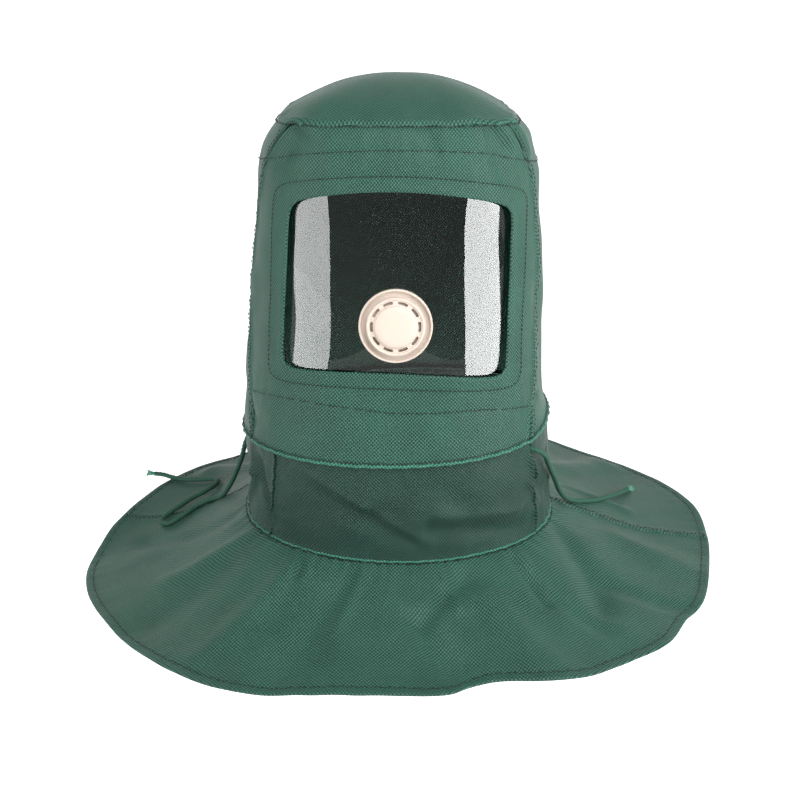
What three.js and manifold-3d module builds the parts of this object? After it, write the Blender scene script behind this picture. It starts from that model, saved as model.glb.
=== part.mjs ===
// Sandblasting hood: a cloth hood with a clear visor and an exhaust valve, a neck band, a shoulder cape and two
// drawcord ends. Millimetres, +Z up, and the wearer looks along -Y. The origin is the inside of the crown's top,
// where the wearer's head carries the hood.
import * as THREE from 'three';
import { mergeVertices } from 'three/addons/utils/BufferGeometryUtils.js';
import Module from 'manifold-3d';

const wasm = await Module();
wasm.setup();

// Driving sizes of the cloth
const CAPE_WIDTH = 500; // over both shoulders, hem to hem
const CAPE_DEPTH = 410; // front hem to back hem
const CAPE_RISE = 45; // neck seam above the level of the cape's side hems
const NECK_WIDTH = 232; // neck band across
const NECK_DEPTH = 208; // neck band front to back
const BAND_HEIGHT = 74; // neck seam to the hood's lower seam
const HOOD_WIDTH = 222; // hood across, near its lower seam
const HOOD_DEPTH = 212; // hood front to back
const HOOD_HEIGHT = 231; // lower seam to crown seam
const CROWN_RISE = 26; // dome above the crown seam
const CLOTH = 1.5; // wall of the coated oxford cloth
const SEAM_GAP = 0.3; // clearance between neighbouring pieces

// Driving sizes of the window, the visor and the valve
const WINDOW_WIDTH = 156;
const WINDOW_HEIGHT = 122;
const WINDOW_RISE = 126; // window centre above the lower seam
const VISOR_SHEET = 1;
const VISOR_GAP = 0.6; // between the cloth and the sheet behind it
const VISOR_LAP = 13; // visor behind the cloth, past the window's edge
const VISOR_HOLE_GAP = 0.8; // round the valve's tube, which stands square to the curved sheet
const VALVE_RISE = 98; // valve centre above the lower seam
const VALVE_OFFSET = -3; // valve centre from the middle of the hood
const VALVE_DIAMETER = 50;
const VALVE_RIM = 1.3; // bead round the flange
const VALVE_RIM_HEIGHT = 4.2;
const FLANGE = 1.6; // floor of the dished flange
const CAP_DIAMETER = 39;
const CAP_HEIGHT = 5.2;
const CAP_WALL = 1.3;
const BOSS_DIAMETER = 28; // raised disc in the middle of the cap
const BOSS_HEIGHT = 0.9;
const SPIGOT_DIAMETER = 27; // tube through the visor
const SPIGOT_WALL = 1.6;
const SPIGOT_LIP = 2.2; // lip that holds the tube behind the visor
const LIP_SETBACK = 3.2; // lip behind the flange, clear of the curved visor
const LIP_THICKNESS = 1.6;
const SLOT_COUNT = 10;
const SLOT_LENGTH = 6.6;
const SLOT_WIDTH = 2.2;
const VALVE_SIDES = 32;

// Driving sizes of the drawcord
const CORD_DIAMETER = 4;
const CORD_HOLE = 5.4;
const CORD_SIDES = 8;
const CORD_STEP = 2; // diameters from one section of the tube to the next

// Levels above the cape's side hems
const LOWER_SEAM = CAPE_RISE + BAND_HEIGHT;
const CROWN_SEAM = LOWER_SEAM + HOOD_HEIGHT;
const HEAD_SEAT = CROWN_SEAM + CROWN_RISE - CLOTH;

// Faces along and round each panel. Panels that share a side seam have the same steps along it.
const HOOD_STEPS = 10;
const BAND_STEPS = 5;
const CAPE_STEPS = 7;
const DIVISIONS = {
  crown: { round: 40, up: 5 },
  frontPanel: { top: 14, side: HOOD_STEPS, out: 4 },
  backPanel: { round: 22, up: HOOD_STEPS },
  bandFront: { round: 16, up: BAND_STEPS },
  bandBack: { round: 22, up: BAND_STEPS },
  capeFront: { round: 48, up: CAPE_STEPS },
  capeBack: { round: 44, up: CAPE_STEPS },
  visor: { top: 10, side: 8, out: 2 },
};

// Hood sections from the lower seam up. Reaches are shares of half the hood's width or depth. Square is the
// exponent of the section's outline. The seams are the side seams' places round the hood, in degrees from the front.
const HOOD_SECTIONS = [
  { rise: 0.0, left: 1.068, right: 1.012, front: 1.047, back: 1.01, square: 2.3, seamLeft: -63, seamRight: 52.5 },
  { rise: 0.05, left: 1.064, right: 0.98, front: 1.035, back: 1.0, square: 2.35, seamLeft: -64, seamRight: 54 },
  { rise: 0.12, left: 1.045, right: 0.962, front: 1.012, back: 0.99, square: 2.4, seamLeft: -67, seamRight: 56.5 },
  { rise: 0.25, left: 1.011, right: 0.955, front: 0.98, back: 0.98, square: 2.4, seamLeft: -71, seamRight: 60 },
  { rise: 0.4, left: 0.974, right: 0.952, front: 0.945, back: 0.99, square: 2.4, seamLeft: -73, seamRight: 63 },
  { rise: 0.53, left: 0.973, right: 0.932, front: 0.92, back: 1.0, square: 2.4, seamLeft: -73, seamRight: 65 },
  { rise: 0.7, left: 0.937, right: 0.903, front: 0.882, back: 1.0, square: 2.45, seamLeft: -71, seamRight: 65 },
  { rise: 0.83, left: 0.922, right: 0.895, front: 0.852, back: 0.96, square: 2.55, seamLeft: -65, seamRight: 61 },
  { rise: 0.91, left: 0.882, right: 0.85, front: 0.825, back: 0.91, square: 2.8, seamLeft: -58, seamRight: 55 },
  { rise: 0.96, left: 0.82, right: 0.815, front: 0.8, back: 0.86, square: 3.4, seamLeft: -52, seamRight: 50 },
  { rise: 1.0, left: 0.745, right: 0.715, front: 0.775, back: 0.8, square: 4.6, seamLeft: -47, seamRight: 46 },
];

// Neck band sections from its top seam down, as shares of half the band's width or depth
const BAND_SECTIONS = [
  { fall: 0.0, left: 1.012, right: 0.96, front: 1.054, back: 1.02, square: 2.3, seamLeft: -48, seamRight: 52.5 },
  { fall: 0.3, left: 1.008, right: 0.982, front: 1.04, back: 1.03, square: 2.3, seamLeft: -50, seamRight: 55 },
  { fall: 0.6, left: 0.978, right: 0.998, front: 1.01, back: 1.05, square: 2.25, seamLeft: -53, seamRight: 58 },
  { fall: 1.0, left: 1.017, right: 1.005, front: 0.933, back: 1.08, square: 2.25, seamLeft: -57, seamRight: 61 },
];

// Seam levels round the garment. The neck seam is a share of the cape's rise, and the lower seam lies above the
// cape's rise by a share of the band's height.
const SEAM_LEVELS = [
  { turn: -180, neckSeam: 1.3, lowerSeam: 1.08 },
  { turn: -110, neckSeam: 1.2, lowerSeam: 0.99 },
  { turn: -50, neckSeam: 1.02, lowerSeam: 0.985 },
  { turn: 0, neckSeam: 0.91, lowerSeam: 0.985 },
  { turn: 50, neckSeam: 1.0, lowerSeam: 1.045 },
  { turn: 95, neckSeam: 1.12, lowerSeam: 1.14 },
  { turn: 180, neckSeam: 1.3, lowerSeam: 1.08 },
];

// The cape's hem, a row for each bend of its outline. Across is a share of half the cape's width, along a share of
// half its depth, and level a share of its rise. Sag is how hollow the slope from the neck to the hem is.
const CAPE_HEM = [
  { turn: -180, across: 0.0, along: 1.04, level: 0.78, sag: 1.4 },
  { turn: -158, across: -0.34, along: 0.99, level: 0.7, sag: 1.4 },
  { turn: -138, across: -0.6, along: 0.8, level: 0.56, sag: 1.6 },
  { turn: -127, across: -0.75, along: 0.71, level: 0.44, sag: 1.8 },
  { turn: -117, across: -0.87, along: 0.54, level: 0.28, sag: 1.9 },
  { turn: -106, across: -0.965, along: 0.34, level: 0.02, sag: 1.9 },
  { turn: -96, across: -1.0, along: 0.15, level: -0.18, sag: 1.8 },
  { turn: -86, across: -1.0, along: -0.04, level: -0.26, sag: 1.7 },
  { turn: -75, across: -0.945, along: -0.26, level: -0.26, sag: 1.6 },
  { turn: -61, across: -0.81, along: -0.535, level: -0.24, sag: 1.5 },
  { turn: -47, across: -0.65, along: -0.757, level: -0.23, sag: 1.4 },
  { turn: -32, across: -0.47, along: -0.905, level: -0.2, sag: 1.3 },
  { turn: -17, across: -0.245, along: -0.95, level: -0.17, sag: 1.3 },
  { turn: 0, across: 0.0, along: -0.972, level: -0.13, sag: 1.3 },
  { turn: 9, across: 0.13, along: -0.968, level: -0.11, sag: 1.3 },
  { turn: 15, across: 0.2, along: -0.908, level: -0.09, sag: 1.3 },
  { turn: 21, across: 0.28, along: -0.893, level: -0.09, sag: 1.3 },
  { turn: 31, across: 0.452, along: -0.907, level: -0.07, sag: 1.35 },
  { turn: 41, across: 0.6, along: -0.81, level: -0.05, sag: 1.4 },
  { turn: 52, across: 0.745, along: -0.69, level: 0.0, sag: 1.5 },
  { turn: 62, across: 0.83, along: -0.52, level: 0.04, sag: 1.5 },
  { turn: 70, across: 0.9, along: -0.4, level: 0.08, sag: 1.6 },
  { turn: 83, across: 0.965, along: -0.13, level: 0.16, sag: 1.7 },
  { turn: 95, across: 1.0, along: 0.11, level: 0.24, sag: 1.8 },
  { turn: 107, across: 0.995, along: 0.345, level: 0.36, sag: 1.8 },
  { turn: 119, across: 0.9, along: 0.56, level: 0.48, sag: 1.8 },
  { turn: 132, across: 0.71, along: 0.77, level: 0.62, sag: 1.6 },
  { turn: 150, across: 0.46, along: 0.95, level: 0.74, sag: 1.5 },
  { turn: 180, across: 0.0, along: 1.04, level: 0.78, sag: 1.4 },
];

// Folds, a row for each: a soft ridge, or a valley where depth is negative, along a straight line over the panel.
// Turns are degrees from the front, and the other places are shares of the panel from its first edge to its last.
const CAPE_FOLDS = [
  { turn: -39, out: 0.02, toTurn: -43, toOut: 0.85, width: 12, depth: 5 },
  { turn: -62, out: 0.3, toTurn: -60, toOut: 1.0, width: 14, depth: -4 },
  { turn: -20, out: 0.25, toTurn: -24, toOut: 1.0, width: 14, depth: -3 },
  { turn: 24, out: 0.15, toTurn: 6, toOut: 0.42, width: 8, depth: -3 },
  { turn: 5, out: 0.45, toTurn: 15, toOut: 1.0, width: 11, depth: -5 },
  { turn: 27, out: 0.35, toTurn: 30, toOut: 1.0, width: 13, depth: 4 },
  { turn: 73, out: 0.04, toTurn: 52, toOut: 0.58, width: 11, depth: -6 },
  { turn: 45, out: 0.25, toTurn: 46, toOut: 0.72, width: 7, depth: -3 },
  { turn: 61, out: 0.5, toTurn: 65, toOut: 1.0, width: 7, depth: -3.5 },
  { turn: 84, out: 0.45, toTurn: 79, toOut: 1.0, width: 11, depth: 4 },
  { turn: -92, out: 0.5, toTurn: -84, toOut: 1.0, width: 16, depth: 3 },
  { turn: 150, out: 0.15, toTurn: 146, toOut: 1.0, width: 18, depth: 5 },
  { turn: -152, out: 0.1, toTurn: -155, toOut: 1.0, width: 18, depth: 5 },
  { turn: 180, out: 0.2, toTurn: 176, toOut: 1.0, width: 16, depth: -4 },
];
const BAND_FOLDS = [
  { turn: -36, out: 0.2, toTurn: -12, toOut: 0.52, width: 9, depth: -3.5 },
  { turn: -12, out: 0.52, toTurn: 14, toOut: 0.92, width: 9, depth: -3.5 },
  { turn: 6, out: 0.08, toTurn: 26, toOut: 0.45, width: 8, depth: -2.5 },
  { turn: 60, out: 0.55, toTurn: 74, toOut: 0.72, width: 8, depth: -4 },
  { turn: -88, out: 0.45, toTurn: -82, toOut: 0.6, width: 9, depth: -3 },
];
const HOOD_FOLDS = [
  { turn: -44, out: 0.97, toTurn: -50, toOut: 0.88, width: 6, depth: -2.5 },
  { turn: 38, out: 0.97, toTurn: 44, toOut: 0.84, width: 6, depth: -3 },
  { turn: 10, out: 0.98, toTurn: 14, toOut: 0.93, width: 5, depth: -1.5 },
  { turn: -68, out: 0.12, toTurn: -62, toOut: 0.05, width: 5, depth: -2.5 },
];

// The window's corners, as shares of its width and height from its centre, and how far its edges bow upwards
const WINDOW_CORNERS = {
  topLeft: { across: -0.481, up: 0.43 },
  topRight: { across: 0.494, up: 0.39 },
  bottomLeft: { across: -0.528, up: -0.52 },
  bottomRight: { across: 0.47, up: -0.586 },
};
const HEM_HOLD = 0.6; // share of a fold's height that the sewn hem takes away
const WINDOW_BOW = { top: 0.09, bottom: 0.053 };
const WINDOW_SQUARE = 16; // exponent that rounds the window's corners

// The shoulder seams' places round the neck, in degrees from the front
const SHOULDER_SEAMS = { left: -108, right: 93 };

const COLOURS = {
  cloth: '#3f7566',
  band: '#31604f',
  visor: '#dfe6e4',
  valve: '#f4ebe1',
  cord: '#1f4a3c',
};

const radians = THREE.MathUtils.degToRad;
const degrees = THREE.MathUtils.radToDeg;
const lerp = THREE.MathUtils.lerp;

// The drawcord's ends: across, along and level above the cape's side hems, from inside the neck band to the tip
const CORD_LEFT = [
  [-109, 27, 97],
  [-114.5, 28, 97],
  [-119.5, 28, 94.5],
  [-123.5, 28.5, 87],
  [-127.5, 30, 73],
  [-133, 34, 59],
  [-139, 40, 46],
  [-147.5, 47.5, 32.8],
  [-158, 52.5, 27.4],
  [-169, 53, 21.6],
  [-177, 47, 17.5],
  [-184, 43, 14],
  [-190.5, 41.6, 10.9],
  [-196.6, 44.6, 9.2],
  [-199, 51, 9.2],
  [-196, 58, 11.2],
  [-190, 63.8, 14.1],
  [-183, 69, 17.2],
  [-175.5, 74.5, 20.5],
  [-166.5, 77.5, 24.5],
  [-159, 83.5, 27.4],
  [-157, 93, 28],
  [-161.5, 102, 26.3],
  [-171, 108.5, 23.6],
  [-182, 113.5, 21.1],
  [-193, 119.5, 19.3],
  [-203, 126, 18.7],
  [-211, 130, 19.4],
  [-219, 131, 20],
];
const CORD_RIGHT = [
  [90, -66.5, 117],
  [95.5, -68, 116.6],
  [101.5, -67.6, 114.2],
  [106, -62.6, 108.8],
  [109, -53.5, 101],
  [113, -41, 90],
  [118.5, -26, 76],
  [124, -9, 61],
  [131, 6, 48.5],
  [139, 16, 41.5],
  [148.5, 24, 37.9],
  [158, 33, 34.8],
  [168, 44, 32.1],
  [178, 56, 29.6],
  [187, 68, 27.5],
  [194, 78, 26.3],
];

// The value of a column at a place between two rows of a table, on a smooth curve through the rows
function between(rows, key, at, column) {
  const last = rows.length - 1;
  let i = 0;
  while (i < last - 1 && at > rows[i + 1][key]) i += 1;
  const slope = (k) => {
    const before = rows[Math.max(k - 1, 0)];
    const after = rows[Math.min(k + 1, last)];
    return (after[column] - before[column]) / (after[key] - before[key]);
  };
  const span = rows[i + 1][key] - rows[i][key];
  const t = THREE.MathUtils.clamp((at - rows[i][key]) / span, 0, 1);
  const rise = rows[i + 1][column] - rows[i][column];
  const ends = t * t * (3 - 2 * t);
  const bend = span * (slope(i) * t * (1 - t) ** 2 - slope(i + 1) * t * t * (1 - t));
  return rows[i][column] + rise * ends + bend;
}

// An angle brought to the range of the tables
const turned = (angle) => THREE.MathUtils.euclideanModulo(angle + 180, 360) - 180;

const neckSeamLevel = (turn) => CAPE_RISE * between(SEAM_LEVELS, 'turn', turned(turn), 'neckSeam');
const lowerSeamLevel = (turn) =>
  CAPE_RISE + BAND_HEIGHT * between(SEAM_LEVELS, 'turn', turned(turn), 'lowerSeam');

// How far a panel stands out at a place, from its table of folds. Wide and high turn the place into millimetres.
function foldHeight(folds, turn, out, wide, high) {
  let height = 0;
  for (const fold of folds) {
    const alongX = radians(turned(fold.toTurn - fold.turn)) * wide;
    const alongY = (fold.toOut - fold.out) * high;
    const x = radians(turned(turn - fold.turn)) * wide;
    const y = (out - fold.out) * high;
    const share = (x * alongX + y * alongY) / (alongX ** 2 + alongY ** 2);
    const nearest = THREE.MathUtils.clamp(share, 0, 1);
    const away = Math.hypot(x - nearest * alongX, y - nearest * alongY);
    height += fold.depth * Math.exp(-((away / fold.width) ** 2));
  }
  return height;
}

// The reach of a section at an angle, from its four half sizes and the exponent of its outline
function sectionReach(section, turn) {
  const side = Math.sin(radians(turn));
  const ahead = Math.cos(radians(turn));
  const across = side < 0 ? section.left : section.right;
  const along = ahead > 0 ? section.front : section.back;
  const sum = Math.abs(side / across) ** section.square + Math.abs(ahead / along) ** section.square;
  return sum ** (-1 / section.square);
}

function sectionAt(rows, key, at, width, depth) {
  const half = (column, size) => (between(rows, key, at, column) * size) / 2;
  return {
    left: half('left', width),
    right: half('right', width),
    front: half('front', depth),
    back: half('back', depth),
    square: between(rows, key, at, 'square'),
  };
}

const hoodSection = (rise) => sectionAt(HOOD_SECTIONS, 'rise', rise, HOOD_WIDTH, HOOD_DEPTH);
const bandSection = (fall) => sectionAt(BAND_SECTIONS, 'fall', fall, NECK_WIDTH, NECK_DEPTH);

// A point at a turn, a reach from the middle and a level
function placed(turn, reach, level) {
  return new THREE.Vector3(reach * Math.sin(radians(turn)), -reach * Math.cos(radians(turn)), level);
}

// The hood's cloth, at a depth below its outside
function hoodPoint(turn, rise, depth) {
  const low = lowerSeamLevel(turn) + SEAM_GAP / 2;
  const high = CROWN_SEAM - CLOTH - SEAM_GAP;
  const folds = foldHeight(HOOD_FOLDS, turn, rise, HOOD_WIDTH / 2, HOOD_HEIGHT);
  return placed(turn, sectionReach(hoodSection(rise), turn) + folds - depth, lerp(low, high, rise));
}

// The neck band's cloth, at a depth below its outside
function bandPoint(turn, fall, depth) {
  const high = lowerSeamLevel(turn) - SEAM_GAP / 2;
  const low = neckSeamLevel(turn) + SEAM_GAP / 2;
  const folds = foldHeight(BAND_FOLDS, turn, fall, NECK_WIDTH / 2, BAND_HEIGHT);
  const held = Math.sin(Math.PI * fall);
  return placed(turn, sectionReach(bandSection(fall), turn) + folds * held - depth, lerp(high, low, fall));
}

// The crown's cloth: in is 0 at the seam and 1 at the top
function crownPoint(turn, inward, depth) {
  const share = 1 - inward;
  const reach = sectionReach(hoodSection(1), turn) * share;
  return placed(turn, reach, CROWN_SEAM + CROWN_RISE * (1 - share ** 2.1) - depth);
}

// The cape's cloth: out is 0 under the band's inner edge and 1 at the hem
function capePoint(turn, out, depth) {
  const at = turned(turn);
  const neckReach = sectionReach(bandSection(1), turn) - CLOTH;
  const neck = placed(turn, neckReach, neckSeamLevel(turn) - SEAM_GAP / 2);
  const hem = (column) => between(CAPE_HEM, 'turn', at, column);
  const level = hem('level') * CAPE_RISE;
  const slope = 1 - (1 - out) ** hem('sag');
  const folds = foldHeight(CAPE_FOLDS, turn, out, CAPE_WIDTH / 3, CAPE_WIDTH / 4);
  const held = 1 - (1 - out) ** 8 - HEM_HOLD * out ** 6;
  return new THREE.Vector3(
    lerp(neck.x, (hem('across') * CAPE_WIDTH) / 2, out),
    lerp(neck.y, (hem('along') * CAPE_DEPTH) / 2, out),
    lerp(neck.z, level, slope) + folds * held - depth,
  );
}

// A closed wall between an outer and an inner grid of points. A wrapped grid meets itself along its columns, and
// a grid with a pole ends in one point.
function wall(columns, rows, pointAt, thickness, { wrap = false, pole = false } = {}) {
  const positions = [];
  const index = [];
  const numbers = new Map();
  const corner = (depth, i, j) => {
    const atPole = pole && j === rows;
    const column = atPole ? 0 : i % (wrap ? columns : columns + 1);
    const key = `${depth} ${column} ${j}`;
    if (!numbers.has(key)) {
      numbers.set(key, positions.length / 3);
      positions.push(...pointAt(column / columns, j / rows, depth).toArray());
    }
    return numbers.get(key);
  };
  const triangle = (a, b, c) => {
    if (a !== b && b !== c && a !== c) index.push(a, b, c);
  };
  const quad = (a, b, c, d) => {
    triangle(a, b, c);
    triangle(a, c, d);
  };
  for (let i = 0; i < columns; i += 1) {
    for (let j = 0; j < rows; j += 1) {
      quad(corner(0, i, j), corner(0, i + 1, j), corner(0, i + 1, j + 1), corner(0, i, j + 1));
      const inner = [[i, j + 1], [i + 1, j + 1], [i + 1, j], [i, j]];
      quad(...inner.map(([a, b]) => corner(thickness, a, b)));
    }
    quad(corner(thickness, i, 0), corner(thickness, i + 1, 0), corner(0, i + 1, 0), corner(0, i, 0));
    if (!pole) {
      const top = [[0, i], [0, i + 1], [thickness, i + 1], [thickness, i]];
      quad(...top.map(([depth, a]) => corner(depth, a, rows)));
    }
  }
  for (let j = 0; j < rows && !wrap; j += 1) {
    quad(corner(thickness, 0, j), corner(0, 0, j), corner(0, 0, j + 1), corner(thickness, 0, j + 1));
    const far = [[0, j], [thickness, j], [thickness, j + 1], [0, j + 1]];
    quad(...far.map(([depth, b]) => corner(depth, columns, b)));
  }
  const geometry = new THREE.BufferGeometry();
  geometry.setAttribute('position', new THREE.Float32BufferAttribute(positions, 3));
  geometry.setIndex(index);
  return geometry;
}

// A place on the edge of a square of half size 1, from its top left corner clockwise
function squareEdge(share, { top, side }) {
  const total = 2 * (top + side);
  const at = (share * total) % total;
  if (at < top) return [(2 * at) / top - 1, 1];
  if (at < top + side) return [1, 1 - (2 * (at - top)) / side];
  if (at < 2 * top + side) return [1 - (2 * (at - top - side)) / top, -1];
  return [-1, (2 * (at - 2 * top - side)) / side - 1];
}

// The angle and rise of a place on the hood's front that is given by its distance across and its level
function frontPlace(across, level) {
  const low = lowerSeamLevel(0);
  const rise = (level - low) / (CROWN_SEAM - low);
  const section = hoodSection(rise);
  const reach = across < 0 ? section.left : section.right;
  const ahead = section.front * (1 - Math.abs(across / reach) ** section.square) ** (1 / section.square);
  return { turn: degrees(Math.atan2(across, ahead)), rise };
}

// The window's outline, grown by a margin, at a place on the edge of the square
function windowPlace(a, b, margin) {
  const rounding = (Math.abs(a) ** WINDOW_SQUARE + Math.abs(b) ** WINDOW_SQUARE) ** (-1 / WINDOW_SQUARE);
  const x = (a * rounding + 1) / 2;
  const y = (b * rounding + 1) / 2;
  const { topLeft, topRight, bottomLeft, bottomRight } = WINDOW_CORNERS;
  const across = lerp(lerp(bottomLeft.across, bottomRight.across, x), lerp(topLeft.across, topRight.across, x), y);
  const up = lerp(lerp(bottomLeft.up, bottomRight.up, x), lerp(topLeft.up, topRight.up, x), y);
  const bow = lerp(WINDOW_BOW.bottom, WINDOW_BOW.top, y) * (1 - (2 * x - 1) ** 2);
  const level = LOWER_SEAM + WINDOW_RISE + (up + bow) * WINDOW_HEIGHT;
  return frontPlace(across * WINDOW_WIDTH + a * rounding * margin, level + b * rounding * margin);
}

// The front panel's own edge: the side seams, the crown seam and the lower seam
function panelEdge(a, b) {
  const rise = (b + 1) / 2;
  const edgeGap = degrees(SEAM_GAP / HOOD_WIDTH);
  const left = between(HOOD_SECTIONS, 'rise', rise, 'seamLeft') + edgeGap;
  const right = between(HOOD_SECTIONS, 'rise', rise, 'seamRight') - edgeGap;
  return { turn: lerp(left, right, (a + 1) / 2), rise };
}

function crownPanel() {
  const { round, up } = DIVISIONS.crown;
  const point = (u, v, depth) => crownPoint(360 * u, v, depth);
  return wall(round, up, point, CLOTH, { wrap: true, pole: true });
}

function hoodFrontPanel() {
  const { top, side, out } = DIVISIONS.frontPanel;
  const point = (u, v, depth) => {
    const [a, b] = squareEdge(u, { top, side });
    const inner = windowPlace(a, b, 0);
    const outer = panelEdge(a, b);
    return hoodPoint(lerp(inner.turn, outer.turn, v), lerp(inner.rise, outer.rise, v), depth);
  };
  return wall(2 * (top + side), out, point, CLOTH, { wrap: true });
}

function hoodBackPanel() {
  const { round, up } = DIVISIONS.backPanel;
  const edgeGap = degrees(SEAM_GAP / HOOD_WIDTH);
  const point = (u, v, depth) => {
    const from = between(HOOD_SECTIONS, 'rise', v, 'seamRight') + edgeGap;
    const to = between(HOOD_SECTIONS, 'rise', v, 'seamLeft') + 360 - edgeGap;
    return hoodPoint(lerp(from, to, u), v, depth);
  };
  return wall(round, up, point, CLOTH);
}

// A panel of the neck band between two angles, which may change from its top to its foot
function bandPanel(divisions, from, to) {
  const point = (u, v, depth) => {
    const fall = 1 - v;
    return bandPoint(lerp(from(fall), to(fall), u), fall, depth);
  };
  return wall(divisions.round, divisions.up, point, CLOTH);
}

const bandEdge = (column, side) => (fall) =>
  between(BAND_SECTIONS, 'fall', fall, column) + side * degrees(SEAM_GAP / NECK_WIDTH);

function neckBandFront() {
  return bandPanel(DIVISIONS.bandFront, bandEdge('seamLeft', 1), bandEdge('seamRight', -1));
}

function neckBandBack() {
  const left = bandEdge('seamLeft', -1);
  return bandPanel(DIVISIONS.bandBack, bandEdge('seamRight', 1), (fall) => left(fall) + 360);
}

// A panel of the cape between two shoulder seams
function capePanel(divisions, from, to) {
  const edgeGap = degrees(SEAM_GAP / NECK_WIDTH);
  const point = (u, v, depth) => capePoint(lerp(from + edgeGap, to - edgeGap, u), 1 - v, depth);
  return wall(divisions.round, divisions.up, point, CLOTH);
}

// The visor's sheet lies behind the front panel, and its hole takes the valve's tube
function visor() {
  const { top, side, out } = DIVISIONS.visor;
  const behind = CLOTH + VISOR_GAP;
  const hole = SPIGOT_DIAMETER / 2 + VISOR_HOLE_GAP;
  const point = (u, v, depth) => {
    const [a, b] = squareEdge(u, { top, side });
    const round = hole / Math.hypot(a, b);
    const inner = frontPlace(VALVE_OFFSET + a * round, LOWER_SEAM + VALVE_RISE + b * round);
    const outer = windowPlace(a, b, VISOR_LAP);
    return hoodPoint(lerp(inner.turn, outer.turn, v), lerp(inner.rise, outer.rise, v), behind + depth);
  };
  return wall(2 * (top + side), out, point, VISOR_SHEET, { wrap: true });
}

// A turned solid from a closed outline of radius and height, with its axis along +Z
function turnedSolid(outline) {
  const points = outline.map(([radius, height]) => new THREE.Vector2(radius, height));
  points.push(points[0].clone());
  const geometry = new THREE.LatheGeometry(points, VALVE_SIDES);
  geometry.rotateX(Math.PI / 2);
  return geometry;
}

function merged(geometry) {
  const bare = geometry.clone();
  for (const name of ['normal', 'uv', 'color']) bare.deleteAttribute(name);
  return mergeVertices(bare, 1e-4);
}

function toSolid(geometry) {
  const mesh = merged(geometry);
  return new wasm.Manifold(
    new wasm.Mesh({
      numProp: 3,
      vertProperties: new Float32Array(mesh.attributes.position.array),
      triVerts: new Uint32Array(mesh.index.array),
    }),
  );
}

function toGeometry(solid) {
  const mesh = solid.getMesh();
  const geometry = new THREE.BufferGeometry();
  geometry.setAttribute('position', new THREE.BufferAttribute(mesh.vertProperties, 3));
  geometry.setIndex(new THREE.BufferAttribute(mesh.triVerts, 1));
  return geometry;
}

// The valve's body: a dished flange with a beaded rim, and a tube with a lip behind the visor
function valveBody() {
  const rim = VALVE_DIAMETER / 2;
  const tube = SPIGOT_DIAMETER / 2;
  const bore = tube - SPIGOT_WALL;
  const lip = tube + SPIGOT_LIP;
  return turnedSolid([
    [bore, -LIP_SETBACK - LIP_THICKNESS],
    [lip, -LIP_SETBACK - LIP_THICKNESS],
    [lip, -LIP_SETBACK],
    [tube, -LIP_SETBACK],
    [tube, 0],
    [rim, 0],
    [rim, VALVE_RIM_HEIGHT],
    [rim - VALVE_RIM, VALVE_RIM_HEIGHT],
    [rim - VALVE_RIM, FLANGE + VALVE_RIM],
    [rim - 2 * VALVE_RIM, FLANGE],
    [bore, FLANGE],
  ]);
}

// One slot of the cap, as a cutter bent round the valve's axis
function slotCutter(number) {
  const middle = (CAP_DIAMETER + BOSS_DIAMETER) / 4;
  const half = SLOT_LENGTH / middle / 2;
  const centre = (2 * Math.PI * number) / SLOT_COUNT;
  const shape = new THREE.Shape();
  shape.absarc(0, 0, middle + SLOT_WIDTH / 2, centre - half, centre + half, false);
  shape.absarc(0, 0, middle - SLOT_WIDTH / 2, centre + half, centre - half, true);
  const cutter = new THREE.ExtrudeGeometry(shape, { depth: 3 * CAP_WALL, bevelEnabled: false, curveSegments: 2 });
  cutter.translate(0, 0, CAP_HEIGHT - 2 * CAP_WALL);
  return toSolid(cutter);
}

// The valve's cap: a cup over the flange with a raised middle and a ring of slots
function valveCap() {
  const wallOuter = CAP_DIAMETER / 2;
  const boss = BOSS_DIAMETER / 2;
  const points = [
    [0, CAP_HEIGHT - CAP_WALL],
    [wallOuter - CAP_WALL, CAP_HEIGHT - CAP_WALL],
    [wallOuter - CAP_WALL, 0],
    [wallOuter, 0],
    [wallOuter, CAP_HEIGHT],
    [boss, CAP_HEIGHT],
    [boss - BOSS_HEIGHT, CAP_HEIGHT + BOSS_HEIGHT],
    [0, CAP_HEIGHT + BOSS_HEIGHT],
  ].map(([radius, height]) => new THREE.Vector2(radius, height));
  const cup = new THREE.LatheGeometry(points, VALVE_SIDES);
  cup.rotateX(Math.PI / 2);
  let solid = toSolid(cup);
  for (let number = 0; number < SLOT_COUNT; number += 1) solid = solid.subtract(slotCutter(number));
  return toGeometry(solid);
}

// A cord end as a round tube along its route
function cordEnd(route) {
  const path = new THREE.CatmullRomCurve3(route.map((point) => new THREE.Vector3(...point)), false, 'centripetal');
  const section = new THREE.Shape();
  section.absarc(0, 0, CORD_DIAMETER / 2, 0, 2 * Math.PI, false);
  const steps = Math.ceil(path.getLength() / (CORD_STEP * CORD_DIAMETER));
  return new THREE.ExtrudeGeometry(section, {
    steps,
    curveSegments: CORD_SIDES / 2,
    extrudePath: path,
  });
}

// The band with a round hole where a cord end comes out, cut along the cord's first stretch
function withCordHole(geometry, route) {
  const [start, exit] = route.map((point) => new THREE.Vector3(...point));
  const along = exit.clone().sub(start).normalize();
  const cutter = new THREE.CylinderGeometry(CORD_HOLE / 2, CORD_HOLE / 2, 6 * CORD_DIAMETER, VALVE_SIDES / 2);
  cutter.applyQuaternion(new THREE.Quaternion().setFromUnitVectors(new THREE.Vector3(0, 1, 0), along));
  cutter.translate(...exit.toArray());
  return toGeometry(toSolid(geometry).subtract(toSolid(cutter)));
}

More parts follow.
